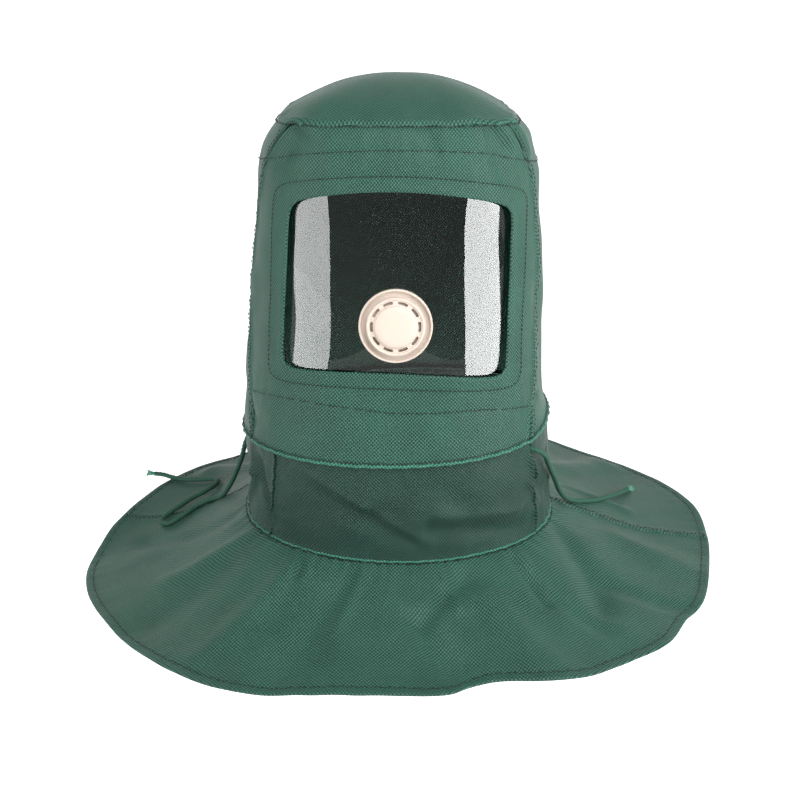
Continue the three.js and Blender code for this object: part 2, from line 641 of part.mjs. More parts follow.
// The valve's pieces stand square to the front wall, which leans back
function valveGroup(pieces) {
  const group = new THREE.Group();
  const span = WINDOW_HEIGHT / 4;
  const level = LOWER_SEAM + VALVE_RISE;
  const at = (height) => {
    const place = frontPlace(VALVE_OFFSET, height);
    return hoodPoint(place.turn, place.rise, CLOTH);
  };
  const wallFace = at(level);
  const above = at(level + span);
  const below = at(level - span);
  const lean = Math.atan2(above.y - below.y, above.z - below.z);
  group.position.copy(wallFace);
  group.rotation.x = Math.PI / 2 - lean;
  for (const [piece, lift] of pieces) {
    piece.position.z = lift;
    group.add(piece);
  }
  return group;
}

function piece(name, geometry, colour, roughness, extra = {}) {
  const material = new THREE.MeshStandardMaterial({ color: colour, roughness, metalness: 0, ...extra });
  const mesh = new THREE.Mesh(geometry, material);
  mesh.name = name;
  return mesh;
}

const cloth = (name, geometry, colour = COLOURS.cloth) => piece(name, geometry, colour, 0.8);

const hood = new THREE.Group();
hood.position.z = -HEAD_SEAT;
hood.add(cloth('crown_panel', crownPanel()));
hood.add(cloth('hood_front_panel', hoodFrontPanel()));
hood.add(cloth('hood_back_panel', hoodBackPanel()));
hood.add(cloth('neck_band_front', neckBandFront(), COLOURS.band));
const bandWithHoles = withCordHole(withCordHole(neckBandBack(), CORD_LEFT), CORD_RIGHT);
hood.add(cloth('neck_band_back', bandWithHoles, COLOURS.band));
const { left, right } = SHOULDER_SEAMS;
hood.add(cloth('cape_front', capePanel(DIVISIONS.capeFront, left, right)));
hood.add(cloth('cape_back', capePanel(DIVISIONS.capeBack, right, left + 360)));
hood.add(piece('visor', visor(), COLOURS.visor, 0.1, { transparent: true, opacity: 0.35 }));
const body = piece('valve_body', valveBody(), COLOURS.valve, 0.4);
const cap = piece('valve_cap', valveCap(), COLOURS.valve, 0.4);
hood.add(valveGroup([[body, SEAM_GAP], [cap, FLANGE + 2 * SEAM_GAP]]));

hood.add(piece('cord_left', cordEnd(CORD_LEFT), COLOURS.cord, 0.7));
hood.add(piece('cord_right', cordEnd(CORD_RIGHT), COLOURS.cord, 0.7));

export default hood;
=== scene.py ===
"""Looks of the sandblasting hood: cloth, seams, visor, valve and drawcord, in metres in the part's frame"""
import math
import random

import bmesh
import bpy
from mathutils import Matrix, Vector, noise


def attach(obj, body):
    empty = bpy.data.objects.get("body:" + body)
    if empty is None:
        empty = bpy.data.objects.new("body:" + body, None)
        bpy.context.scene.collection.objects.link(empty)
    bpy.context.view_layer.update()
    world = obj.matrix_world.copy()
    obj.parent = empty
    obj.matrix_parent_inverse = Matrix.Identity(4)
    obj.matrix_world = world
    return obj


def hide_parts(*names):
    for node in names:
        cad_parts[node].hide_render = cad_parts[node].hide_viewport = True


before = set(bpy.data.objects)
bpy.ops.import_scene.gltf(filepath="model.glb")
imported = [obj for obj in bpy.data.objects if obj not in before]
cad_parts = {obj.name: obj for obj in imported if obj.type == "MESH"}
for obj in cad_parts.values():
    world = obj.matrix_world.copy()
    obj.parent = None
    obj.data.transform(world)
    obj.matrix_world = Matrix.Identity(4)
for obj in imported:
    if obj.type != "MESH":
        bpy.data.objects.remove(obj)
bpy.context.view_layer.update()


def table(columns, *rows):
    """Rows with named columns"""
    names = columns.split()
    return [dict(zip(names, row)) for row in rows]


# Driving sizes of the cloth
CAPE_WIDTH = 0.500
CAPE_DEPTH = 0.410
CAPE_RISE = 0.045
NECK_WIDTH = 0.232
NECK_DEPTH = 0.208
BAND_HEIGHT = 0.074
HOOD_WIDTH = 0.222
HOOD_DEPTH = 0.212
HOOD_HEIGHT = 0.231
CROWN_RISE = 0.026
WALL = 0.0015  # wall of the frame's panels
OXFORD = 0.0008  # the coated cloth itself
FOLD = 0.0012  # half the thickness of a turned edge
TURNING = 0.009  # cloth turned in behind an edge
CROWN_LAP = 0.0018  # crown that stands out over the hood
NECK_TUCK = 0.005  # cape that runs on behind the neck band
BAND_LAP = 0.0024  # band that runs up behind the hood
BAND_SET_BACK = 0.0009  # and how far it lies behind the hood's cloth there
BAND_DROP = 0.0016  # band's lower edge over the cape
MESH_STEP = 0.0042  # cells of a panel, before they are subdivided
BAND_STEP = 0.003  # finer in the creased band

# Spans that give each panel's grid its number of lines
CROWN_GIRTH = 2 * math.pi * HOOD_WIDTH / 2 * 0.8
CROWN_REACH = HOOD_WIDTH * 0.36
FRONT_REACH = 0.045  # from the window to the panel's edge
BACK_SPAN = 228  # degrees
BAND_SPANS = {"front": 108, "back": 255}
CAPE_AROUND = CAPE_WIDTH / 2 * 0.82
CAPE_REACH = 0.125

# Driving sizes of the window, the visor and the valve
WINDOW_WIDTH = 0.156
WINDOW_HEIGHT = 0.122
WINDOW_RISE = 0.126
WINDOW_SQUARE = 16
WINDOW_BOW = {"top": 0.09, "bottom": 0.053}
WINDOW_CORNERS = {
    "top_left": (-0.481, 0.43),
    "top_right": (0.494, 0.39),
    "bottom_left": (-0.528, -0.52),
    "bottom_right": (0.47, -0.586),
}
VISOR_SHEET = 0.001
VISOR_LAP = 0.013
VALVE_RISE = 0.098
VALVE_OFFSET = -0.003
VALVE_HOLE = 0.0143

# Driving sizes of the drawcord and the sewing
CORD_DIAMETER = 0.004
CORD_LAY = 0.0105  # one turn of a strand
STITCH_PITCH = 0.0033
STITCH_LENGTH = 0.0029
THREAD = 0.0008
STITCH_INSET = 0.0068  # hem stitches from the edge

# Levels above the cape's side hems
LOWER_SEAM = CAPE_RISE + BAND_HEIGHT
CROWN_SEAM = LOWER_SEAM + HOOD_HEIGHT
HEAD_SEAT = CROWN_SEAM + CROWN_RISE - WALL

HOOD_SECTIONS = table(
    "rise left right front back square seam_left seam_right",
    (0.0, 1.068, 1.012, 1.047, 1.01, 2.3, -63, 52.5),
    (0.05, 1.064, 0.98, 1.035, 1.0, 2.35, -64, 54),
    (0.12, 1.045, 0.962, 1.012, 0.99, 2.4, -67, 56.5),
    (0.25, 1.011, 0.955, 0.98, 0.98, 2.4, -71, 60),
    (0.4, 0.974, 0.952, 0.945, 0.99, 2.4, -73, 63),
    (0.53, 0.973, 0.932, 0.92, 1.0, 2.4, -73, 65),
    (0.7, 0.937, 0.903, 0.882, 1.0, 2.45, -71, 65),
    (0.83, 0.922, 0.895, 0.852, 0.96, 2.55, -65, 61),
    (0.91, 0.882, 0.85, 0.825, 0.91, 2.8, -58, 55),
    (0.96, 0.82, 0.815, 0.8, 0.86, 3.4, -52, 50),
    (1.0, 0.745, 0.715, 0.775, 0.8, 4.6, -47, 46),
)
BAND_SECTIONS = table(
    "fall left right front back square seam_left seam_right",
    (0.0, 1.012, 0.96, 1.054, 1.02, 2.3, -48, 52.5),
    (0.3, 1.008, 0.982, 1.04, 1.03, 2.3, -50, 55),
    (0.6, 0.978, 0.998, 1.01, 1.05, 2.25, -53, 58),
    (1.0, 1.017, 1.005, 0.933, 1.08, 2.25, -57, 61),
)
SEAM_LEVELS = table(
    "turn neck_seam lower_seam",
    (-180, 1.3, 1.08),
    (-110, 1.2, 0.99),
    (-50, 1.02, 0.985),
    (0, 0.91, 0.985),
    (50, 1.0, 1.045),
    (95, 1.12, 1.14),
    (180, 1.3, 1.08),
)
CAPE_HEM = table(
    "turn across along level sag",
    (-180, 0.0, 1.04, 0.78, 1.4),
    (-158, -0.34, 0.99, 0.7, 1.4),
    (-138, -0.6, 0.8, 0.56, 1.6),
    (-127, -0.75, 0.71, 0.44, 1.8),
    (-117, -0.87, 0.54, 0.28, 1.9),
    (-106, -0.965, 0.34, 0.02, 1.9),
    (-96, -1.0, 0.15, -0.18, 1.8),
    (-86, -1.0, -0.04, -0.26, 1.7),
    (-75, -0.945, -0.26, -0.26, 1.6),
    (-61, -0.81, -0.535, -0.24, 1.5),
    (-47, -0.65, -0.757, -0.23, 1.4),
    (-32, -0.47, -0.905, -0.2, 1.3),
    (-17, -0.245, -0.95, -0.17, 1.3),
    (0, 0.0, -0.972, -0.13, 1.3),
    (9, 0.13, -0.968, -0.11, 1.3),
    (15, 0.2, -0.908, -0.09, 1.3),
    (21, 0.28, -0.893, -0.09, 1.3),
    (31, 0.452, -0.907, -0.07, 1.35),
    (41, 0.6, -0.81, -0.05, 1.4),
    (52, 0.745, -0.69, 0.0, 1.5),
    (62, 0.83, -0.52, 0.04, 1.5),
    (70, 0.9, -0.4, 0.08, 1.6),
    (83, 0.965, -0.13, 0.16, 1.7),
    (95, 1.0, 0.11, 0.24, 1.8),
    (107, 0.995, 0.345, 0.36, 1.8),
    (119, 0.9, 0.56, 0.48, 1.8),
    (132, 0.71, 0.77, 0.62, 1.6),
    (150, 0.46, 0.95, 0.74, 1.5),
    (180, 0.0, 1.04, 0.78, 1.4),
)
# Folds run from a place to a place on a panel. Width and depth are in millimetres.
FOLD_COLUMNS = "turn out to_turn to_out width depth"
CAPE_FOLDS = table(
    FOLD_COLUMNS,
    (-39, 0.02, -43, 0.85, 12, 5),
    (-62, 0.3, -60, 1.0, 14, -4),
    (-20, 0.25, -24, 1.0, 14, -3),
    (24, 0.15, 6, 0.42, 8, -3),
    (5, 0.45, 15, 1.0, 11, -5),
    (27, 0.35, 30, 1.0, 13, 4),
    (73, 0.04, 52, 0.58, 11, -6),
    (45, 0.25, 46, 0.72, 7, -3),
    (61, 0.5, 65, 1.0, 7, -3.5),
    (84, 0.45, 79, 1.0, 11, 4),
    (-92, 0.5, -84, 1.0, 16, 3),
    (150, 0.15, 146, 1.0, 18, 5),
    (-152, 0.1, -155, 1.0, 18, 5),
    (180, 0.2, 176, 1.0, 16, -4),
)
BAND_FOLDS = table(
    FOLD_COLUMNS,
    (-36, 0.2, -12, 0.52, 9, -3.5),
    (-12, 0.52, 14, 0.92, 9, -3.5),
    (6, 0.08, 26, 0.45, 8, -2.5),
    (60, 0.55, 74, 0.72, 8, -4),
    (-88, 0.45, -82, 0.6, 9, -3),
)
HOOD_FOLDS = table(
    FOLD_COLUMNS,
    (-44, 0.97, -50, 0.88, 6, -2.5),
    (38, 0.97, 44, 0.84, 6, -3),
    (10, 0.98, 14, 0.93, 5, -1.5),
    (-68, 0.12, -62, 0.05, 5, -2.5),
)
CORD_LEFT_ROUTE = (
    (-109, 27, 97), (-114.5, 28, 97), (-119.5, 28, 94.5), (-123.5, 28.5, 87), (-127.5, 30, 73),
    (-133, 34, 59), (-139, 40, 46), (-147.5, 47.5, 32.8), (-158, 52.5, 27.4), (-169, 53, 21.6),
    (-177, 47, 17.5), (-184, 43, 14), (-190.5, 41.6, 10.9), (-196.6, 44.6, 9.2), (-199, 51, 9.2),
    (-196, 58, 11.2), (-190, 63.8, 14.1), (-183, 69, 17.2), (-175.5, 74.5, 20.5), (-166.5, 77.5, 24.5),
    (-159, 83.5, 27.4), (-157, 93, 28), (-161.5, 102, 26.3), (-171, 108.5, 23.6), (-182, 113.5, 21.1),
    (-193, 119.5, 19.3), (-203, 126, 18.7), (-211, 130, 19.4), (-219, 131, 20),
)
CORD_RIGHT_ROUTE = (
    (90, -66.5, 117), (95.5, -68, 116.6), (101.5, -67.6, 114.2), (106, -62.6, 108.8), (109, -53.5, 101),
    (113, -41, 90), (118.5, -26, 76), (124, -9, 61), (131, 6, 48.5), (139, 16, 41.5), (148.5, 24, 37.9),
    (158, 33, 34.8), (168, 44, 32.1), (178, 56, 29.6), (187, 68, 27.5), (194, 78, 26.3),
)

# Small creases that the frame's panels don't have, beside its folds
FINE_HOOD = table(
    FOLD_COLUMNS,
    (-46.5, 1, -38, 0.95, 3.2, -2),
    (-41.5, 1, -33.5, 0.955, 2.6, 0.9),
    (37, 1, 46, 0.92, 3.2, -2.2),
    (42, 1, 50.5, 0.925, 2.8, 1.2),
    (11.3, 1, 13.5, 0.975, 2.6, -1.4),
    (8, 1, 12.5, 0.982, 2.2, 0.7),
    (-22, 1, -24, 0.97, 2.6, -0.9),
    (52, 1, 61.9, 0.9, 3, 1.8),
    (-67.5, 0.12, -58, 0.062, 2.6, 1.2),
    (-66.5, 0.098, -55, 0.07, 2.8, -2.4),
    (57, 0.11, 65, 0.118, 2.4, -2),
    (56, 0.1, 54, 0.02, 3, 1.4),
    (-82, 0.2, -70, 0.5, 9, 1.6),
    (75, 0.15, 66, 0.45, 9, -1.6),
    (120, 0.05, 108, 0.4, 11, 2.2),
    (-125, 0.03, -112, 0.35, 11, 2.2),
    (165, 0.1, 150, 0.55, 13, -2),
    (-165, 0.75, -140, 0.3, 14, 1.8),
    (130, 0.97, 120, 0.7, 8, -2),
    (-135, 0.98, -128, 0.72, 8, -2),
)
FINE_BAND = table(
    FOLD_COLUMNS,
    (-38, 0.06, -14, 0.4, 4, 1.6),
    (-14, 0.4, 12, 0.82, 4, 1.4),
    (12, 0.66, 50, 0.84, 7, -2.4),
    (14, 0.5, 48, 0.64, 4.5, 1.2),
    (50.3, 0.01, 56.5, 0.36, 3.2, 2),
    (75.4, 0.24, 71.5, 0.38, 3.2, -2),
    (54, 0.42, 62, 0.66, 2.8, 1.6),
    (60, 0.84, 76, 0.62, 2.8, 1.5),
    (-67, 0.03, -66, 0.38, 4, 1.8),
    (-66, 0.38, -81, 0.88, 4.5, 2),
    (-63.5, 0.59, -54, 0.68, 2.8, 1.4),
    (-60, 0.2, -57, 0.92, 4, -2.2),
    (-5, 0.02, 2, 0.2, 4, -1.2),
    (105, 0.1, 118, 0.9, 8, -2.5),
    (140, 0.9, 155, 0.15, 8, 2.2),
    (-110, 0.15, -122, 0.9, 8, -2.5),
    (-150, 0.85, -165, 0.15, 9, 2.2),
)
FINE_CAPE = table(
    FOLD_COLUMNS,
    (-39, 0.05, -35.5, 0.17, 3.2, -2.2),
    (-36.5, 0.05, -33, 0.16, 2.8, 1.2),
    (43.5, 0.08, 41, 0.42, 4, -2),
    (47, 0.08, 45, 0.36, 3.4, 1.2),
    (110, 0.2, 102, 0.54, 3.6, 1.2),
    (-14, 0.05, -17, 0.5, 7, 1.4),
    (16, 0.04, 18, 0.4, 5.5, 1.2),
    (-66, 0.05, -72, 0.55, 8, 1.6),
    (-84, 0.1, -97, 0.7, 8, -1.6),
    (-130, 0.1, -128, 0.8, 10, 2.4),
    (124, 0.12, 128, 0.85, 10, 2.4),
    (168, 0.1, 170, 0.7, 9, 2),
    (-170, 0.1, -168, 0.7, 9, -2),
)

CREASES = {"hood": 1.5, "band": 2.2, "cape": 2.2}  # how much deeper the small creases are than listed

# Lines of stitches on the hood, from the left of the front round to the right, as turns and rises
UPPER_STITCHES = table(
    "turn rise",
    (-180, 0.9), (-120, 0.885), (-80, 0.87), (-54, 0.893), (-42, 0.91), (-21, 0.924), (0, 0.927),
    (21, 0.923), (38, 0.912), (50, 0.89), (78, 0.86), (120, 0.885), (180, 0.9),
)
LOWER_STITCHES = table(
    "turn rise",
    (-66, 0.16), (-51, 0.179), (-37, 0.187), (-18, 0.18), (-3, 0.168), (15, 0.162), (30, 0.155), (55, 0.113),
)
SHOULDER_SEAMS = {"left": -108, "right": 93}
FRAME_MARGIN = 0.0105  # window edge to its stitches

COLOURS = {
    # Each cloth's dark colour is painted shade in the sunken checks of its weave
    "cloth": "#336656",
    "cloth_dark": "#04221a",
    # The band's colours are the cloth's made darker: painted shade over the whole neck band
    "band": "#214c41",
    "band_dark": "#02150e",
    # The seam rolls' colours are the cloth's made lighter: painted highlight on the rolls
    "roll": "#418370",
    "roll_dark": "#1c4a3c",
    "thread": "#06190f",
    "cord": "#256650",
    "cord_dark": "#020f09",
    "fray": "#6fb89d",
    "valve": "#c2b5ab",
    "valve_clouds": "#c9b395",
    "visor": "#f3f8f6",
    "floor": "#f4f4f2",
    "sheen": "#cfe6dc",
}
WHITE = (1.0, 1.0, 1.0, 1.0)


def lerp(start, end, share):
    return start + (end - start) * share


def lerp_pair(start, end, share):
    return [lerp(a, b, share) for a, b in zip(start, end)]


def between(rows, key, at, column):
    """The value of a column at a place between two rows, on a smooth curve through the rows"""
    last = len(rows) - 1
    i = 0
    while i < last - 1 and at > rows[i + 1][key]:
        i += 1

    def slope(k):
        before = rows[max(k - 1, 0)]
        after = rows[min(k + 1, last)]
        return (after[column] - before[column]) / (after[key] - before[key])

    span = rows[i + 1][key] - rows[i][key]
    t = min(max((at - rows[i][key]) / span, 0.0), 1.0)
    rise = rows[i + 1][column] - rows[i][column]
    bend = span * (slope(i) * t * (1 - t) ** 2 - slope(i + 1) * t * t * (1 - t))
    return rows[i][column] + rise * t * t * (3 - 2 * t) + bend


def turned(angle):
    return (angle + 180) % 360 - 180


def neck_seam_level(turn):
    return CAPE_RISE * between(SEAM_LEVELS, "turn", turned(turn), "neck_seam")


def lower_seam_level(turn):
    return CAPE_RISE + BAND_HEIGHT * between(SEAM_LEVELS, "turn", turned(turn), "lower_seam")


def fold_height(folds, turn, out, wide, high):
    """How far a panel stands out at a place. Wide and high turn the place into metres."""
    height = 0.0
    for fold in folds:
        x = math.radians(turned(turn - fold["turn"])) * wide
        y = (out - fold["out"]) * high
        along_x = math.radians(turned(fold["to_turn"] - fold["turn"])) * wide
        along_y = (fold["to_out"] - fold["out"]) * high
        share = (x * along_x + y * along_y) / (along_x**2 + along_y**2)
        nearest = min(max(share, 0.0), 1.0)
        away = math.hypot(x - nearest * along_x, y - nearest * along_y) / (fold["width"] * 0.001)
        if away < 3:
            height += fold["depth"] * 0.001 * math.exp(-(away**2))
    return height


def section_reach(section, turn):
    side = math.sin(math.radians(turn))
    ahead = math.cos(math.radians(turn))
    across = section["left"] if side < 0 else section["right"]
    along = section["front"] if ahead > 0 else section["back"]
    power = section["square"]
    return (abs(side / across) ** power + abs(ahead / along) ** power) ** (-1 / power)


def section_at(rows, key, at, width, depth):
    halves = {"left": width / 2, "right": width / 2, "front": depth / 2, "back": depth / 2}
    section = {side: between(rows, key, at, side) * half for side, half in halves.items()}
    section["square"] = between(rows, key, at, "square")
    return section


SECTION_CACHE = {}


def hood_section(rise):
    key = ("hood", round(rise, 4))
    if key not in SECTION_CACHE:
        SECTION_CACHE[key] = section_at(HOOD_SECTIONS, "rise", rise, HOOD_WIDTH, HOOD_DEPTH)
    return SECTION_CACHE[key]


def band_section(fall):
    key = ("band", round(fall, 4))
    if key not in SECTION_CACHE:
        SECTION_CACHE[key] = section_at(BAND_SECTIONS, "fall", fall, NECK_WIDTH, NECK_DEPTH)
    return SECTION_CACHE[key]


def placed(turn, reach, level):
    angle = math.radians(turn)
    return Vector((reach * math.sin(angle), -reach * math.cos(angle), level - HEAD_SEAT))


def ripple(turn, level, wide, size, height):
    """Slack in the cloth, as smooth low waves"""
    angle = math.radians(turn)
    place = Vector((math.sin(angle) * wide / size, math.cos(angle) * wide / size, level / size))
    return height * noise.noise(place)


# Size and height of the waves that slack makes in the cloth
WAVES = {
    "hood": ((0.055, 0.0016), (0.02, 0.0005)),
    "band": ((0.03, 0.0022), (0.014, 0.0007)),
    "cape": ((0.05, 0.0022), (0.018, 0.0006)),
}


def hood_slack(turn, rise):
    free = math.sin(math.pi * min(max(rise, 0.0), 1.0))
    level = rise * HOOD_HEIGHT
    wide = HOOD_WIDTH / 2
    broad, small = WAVES["hood"]
    return free * ripple(turn, level, wide, *broad) + ripple(turn, level, wide, *small)


def hood_point(turn, rise, out=0.0):
    low = lower_seam_level(turn)
    high = CROWN_SEAM - WALL
    folds = fold_height(HOOD_FOLDS, turn, rise, HOOD_WIDTH / 2, HOOD_HEIGHT)
    folds += CREASES["hood"] * fold_height(FINE_HOOD, turn, rise, HOOD_WIDTH / 2, HOOD_HEIGHT)
    reach = section_reach(hood_section(rise), turn) + folds + hood_slack(turn, rise)
    return placed(turn, reach + out, lerp(low, high, rise))


def band_point(turn, fall, out=0.0):
    high = lower_seam_level(turn)
    low = neck_seam_level(turn)
    folds = fold_height(BAND_FOLDS, turn, fall, NECK_WIDTH / 2, BAND_HEIGHT)
    fine = CREASES["band"] * fold_height(FINE_BAND, turn, fall, NECK_WIDTH / 2, BAND_HEIGHT)
    held = math.sin(math.pi * fall)
    level = lerp(high, low, fall)
    broad, small = WAVES["band"]
    slack = ripple(turn, level * 1.6, NECK_WIDTH / 2, *broad) * held
    slack += ripple(turn, level * 2.0, NECK_WIDTH / 2, *small)
    reach = section_reach(band_section(fall), turn) + folds * held + fine * abs(held) ** 0.5 + slack
    lap = (1 - fall) ** 12
    return placed(turn, reach + out - BAND_SET_BACK * lap, level - BAND_DROP * fall**12 + BAND_LAP * lap)


CROWN_GATHER = 0.0011
CROWN_GATHERS = 23
CROWN_WAVE = (0.03, 0.0012)
CROWN_DOME = 2.1


def crown_point(turn, inward, out=0.0):
    share = 1 - inward
    reach = section_reach(hood_section(1), turn) * share
    level = CROWN_SEAM + CROWN_RISE * (1 - abs(share) ** CROWN_DOME)
    angle = math.radians(turn)
    gathers = CROWN_GATHER * math.sin(angle * CROWN_GATHERS + 2.5 * math.sin(angle * 4))
    corners = 0.35 + 0.65 * abs(math.sin(angle * 2)) ** 3
    size, height = CROWN_WAVE
    wave = height * share * noise.noise(Vector((reach / size, turn / 40, 1.0)))
    slack = gathers * corners * share**7 + wave
    return placed(turn, reach, level + slack + out)


def cape_rim(turn):
    at = turned(turn)
    return Vector((
        between(CAPE_HEM, "turn", at, "across") * CAPE_WIDTH / 2,
        between(CAPE_HEM, "turn", at, "along") * CAPE_DEPTH / 2,
        between(CAPE_HEM, "turn", at, "level") * CAPE_RISE - HEAD_SEAT,
    ))


def cape_neck(turn):
    return placed(turn, section_reach(band_section(1), turn) - WALL, neck_seam_level(turn))


def cape_point(turn, out, lift=0.0):
    """Out is 0 at the neck and 1 at the hem"""
    neck = cape_neck(turn)
    rim = cape_rim(turn)
    sag = between(CAPE_HEM, "turn", turned(turn), "sag")
    share = min(max(out, 0.0), 1.0)
    slope = 1 - (1 - share) ** sag
    folds = fold_height(CAPE_FOLDS, turn, out, CAPE_WIDTH / 3, CAPE_WIDTH / 4)
    fine = CREASES["cape"] * fold_height(FINE_CAPE, turn, out, CAPE_WIDTH / 3, CAPE_WIDTH / 4)
    held = 1 - (1 - share) ** 8 - 0.6 * share**6
    across = lerp(neck.x, rim.x, out)
    along = lerp(neck.y, rim.y, out)
    broad, small = WAVES["cape"]
    slack = broad[1] * noise.noise(Vector((across / broad[0], along / broad[0], 5.0))) * held
    slack += small[1] * noise.noise(Vector((across / small[0], along / small[0], 9.0)))
    level = lerp(neck.z, rim.z, slope) + folds * held + fine * (1 - (1 - share) ** 12) + slack
    return Vector((across, along, level + lift))


# Relief of a seam: the cloth dips into it, swells beside it and puckers along it
SEAM_DIP = 0.0019
DIP_REACH = 0.0007
SEAM_SWELL = 0.0009
SWELL_AT = 0.0018
SWELL_REACH = 0.0009
PUCKER = 0.0006
PUCKER_PITCH = 0.0105
PUCKER_REACH = 0.0075
STITCH_DIP = 0.0007
STITCH_REACH = 0.0016
BAND_SEAM = 1.4  # the band's side seams against the others
NECK_GATHER = 1.5  # puckers along the cape's neck, higher and longer than along a seam
NECK_GATHER_PITCH = 0.6
JOIN_REACH = 0.006
ALLOWANCE_LIFT = 0.0008  # the turned allowance beside a shoulder seam
ALLOWANCE_AT = 0.0045
ALLOWANCE_REACH = 0.003
CROWN_SWELL = 0.0012
CROWN_SWELL_AT = 0.0008
CROWN_SWELL_REACH = 0.0013
LIP_SWELL = 0.0009  # the window's turned edge
LIP_AT = 0.002
LIP_REACH = 0.004
SEAM_ZONE = 0.03
SIDE_SEAMS = ("seam_left", "seam_right")


def ridge(away, height, reach):
    return height * math.exp(-((away / reach) ** 2))


def pucker(distance, along):
    wander = 4 * noise.noise(Vector((along / 0.03, 0.0, 3.7)))
    return PUCKER * math.sin(2 * math.pi * along / PUCKER_PITCH + wander) * math.exp(-distance / PUCKER_REACH)


def seam_relief(distance, along):
    distance = abs(distance)
    dip = ridge(distance, -SEAM_DIP, DIP_REACH)
    swell = ridge(distance - SWELL_AT, SEAM_SWELL, SWELL_REACH)
    return dip + swell + pucker(distance, along)


def beside_join(away):
    """Fades relief out towards the left seam, where a panel that starts there meets one that ends there"""
    return 1 - ridge(away, 1.0, JOIN_REACH)


def stitch_relief(distance, along):
    """The shallow valley that a line of stitches pulls into the cloth"""
    return ridge(distance, -STITCH_DIP, STITCH_REACH) + pucker(abs(distance), along)


# A panel's lines lie at a distance from its first or its last edge, or at a share between the two
SEWN_EDGE = (0.0, 0.0006, 0.0013, 0.0021, 0.0036)
TURNED_EDGE = (
    (TURNING, 2.0), (0.005, 2.0), (0.0022, 2.0), (0.0009, 1.85), (0.0002, 1.45), (0.0, 1.0),
    (0.0002, 0.55), (0.0009, 0.15), (0.0022, 0.0), (0.0042, 0.0),
)
EDGE_ZONE = 0.0065


def sewn_lines(length, step=MESH_STEP):
    """Lines of a panel between two sewn edges"""
    count = max(2, round((length - 2 * EDGE_ZONE) / step))
    lines = [("first", at, 0.0) for at in SEWN_EDGE]
    lines += [("share", i / count, 0.0) for i in range(count + 1)]
    lines += [("last", at, 0.0) for at in reversed(SEWN_EDGE)]
    return lines


def turned_lines(length, end="last"):
    """Lines of a panel from a turned edge to a sewn edge, or to an open end"""
    count = max(2, round((length - 2 * EDGE_ZONE) / MESH_STEP))
    lines = [("first", at, depth) for at, depth in TURNED_EDGE]
    lines += [("share", i / count, 0.0) for i in range(count + 1)]
    if end == "last":
        lines += [("last", at, 0.0) for at in reversed(SEWN_EDGE)]
    return lines


def even_lines(count):
    return [("whole", i / count, 0.0) for i in range(count + 1)]


def inset(line, length):
    """Distance of a line from its panel's first edge"""
    kind, value, _ = line
    if kind == "first":
        return value
    if kind == "last":
        return length - value
    if kind == "whole":
        return value * length
    return lerp(EDGE_ZONE, length - EDGE_ZONE, value)


def panel(name, columns, rows, place, closed=False, thickness=OXFORD):
    """A sheet from a grid: place gives each corner's point and its place in the weave"""
    mesh = bmesh.new()
    wide = len(columns) - 1
    high = len(rows) - 1
    bmesh.ops.create_grid(mesh, x_segments=wide, y_segments=high, size=1.0)
    weave = mesh.loops.layers.uv.new("weave")
    places = {}
    for vertex in mesh.verts:
        i = round((vertex.co.x + 1) / 2 * wide)
        j = round((vertex.co.y + 1) / 2 * high)
        point, across, up = place(columns[i], rows[j])
        vertex.co = point
        places[vertex] = (across, up)
    smooth(mesh)
    for face in mesh.faces:
        for loop in face.loops:
            loop[weave].uv = places[loop.vert]
    if closed:
        bmesh.ops.remove_doubles(mesh, verts=mesh.verts, dist=1e-6)
    piece = object_from(name, mesh)
    solid = piece.modifiers.new("sheet", "SOLIDIFY")
    solid.thickness = thickness
    solid.offset = -1
    rounded = piece.modifiers.new("smooth", "SUBSURF")
    rounded.levels = 1
    rounded.render_levels = 1
    return piece


def object_from(name, mesh):
    data = bpy.data.meshes.new(name)
    mesh.to_mesh(data)
    mesh.free()
    return linked(name, data)


def linked(name, data):
    piece = bpy.data.objects.new(name, data)
    bpy.context.scene.collection.objects.link(piece)
    return piece


def smooth(mesh):
    for face in mesh.faces:
        face.smooth = True


def dress(piece, material, slot, *nodes):
    """Gives a piece its material and its body, and hides the frame's nodes that it stands for. Its slot is
    not used
    """
    piece.data.materials.append(material)
    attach(piece, "root")
    if nodes:
        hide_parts(*nodes)


def front_place(across, level):
    """The turn and rise of a place on the hood's front, from its distance across and its level"""
    low = lower_seam_level(0)
    rise = (level - low) / (CROWN_SEAM - low)
    section = hood_section(rise)
    reach = section["left"] if across < 0 else section["right"]
    share = min(abs(across / reach), 0.999)
    ahead = section["front"] * (1 - share ** section["square"]) ** (1 / section["square"])
    return math.degrees(math.atan2(across, ahead)), rise


def square_edge(share):
    """A place on the edge of a square of half size 1, from its top left corner clockwise"""
    at = share * 4 % 4
    if at < 1:
        return 2 * at - 1, 1.0
    if at < 2:
        return 1.0, 1 - 2 * (at - 1)
    if at < 3:
        return 1 - 2 * (at - 2), -1.0
    return -1.0, 2 * (at - 3) - 1


def window_place(a, b, margin):
    rounding = (abs(a) ** WINDOW_SQUARE + abs(b) ** WINDOW_SQUARE) ** (-1 / WINDOW_SQUARE)
    x = (a * rounding + 1) / 2
    y = (b * rounding + 1) / 2
    low = lerp_pair(WINDOW_CORNERS["bottom_left"], WINDOW_CORNERS["bottom_right"], x)
    high = lerp_pair(WINDOW_CORNERS["top_left"], WINDOW_CORNERS["top_right"], x)
    across, up = lerp_pair(low, high, y)
    bow = lerp(WINDOW_BOW["bottom"], WINDOW_BOW["top"], y) * (1 - (2 * x - 1) ** 2)
    level = LOWER_SEAM + WINDOW_RISE + (up + bow) * WINDOW_HEIGHT
    return front_place(across * WINDOW_WIDTH + a * rounding * margin, level + b * rounding * margin)


def panel_edge(a, b):
    rise = (b + 1) / 2
    left = between(HOOD_SECTIONS, "rise", rise, "seam_left")
    right = between(HOOD_SECTIONS, "rise", rise, "seam_right")
    return lerp(left, right, (a + 1) / 2), rise


def line_rise(line, turn):
    return between(line, "turn", turned(turn), "rise")


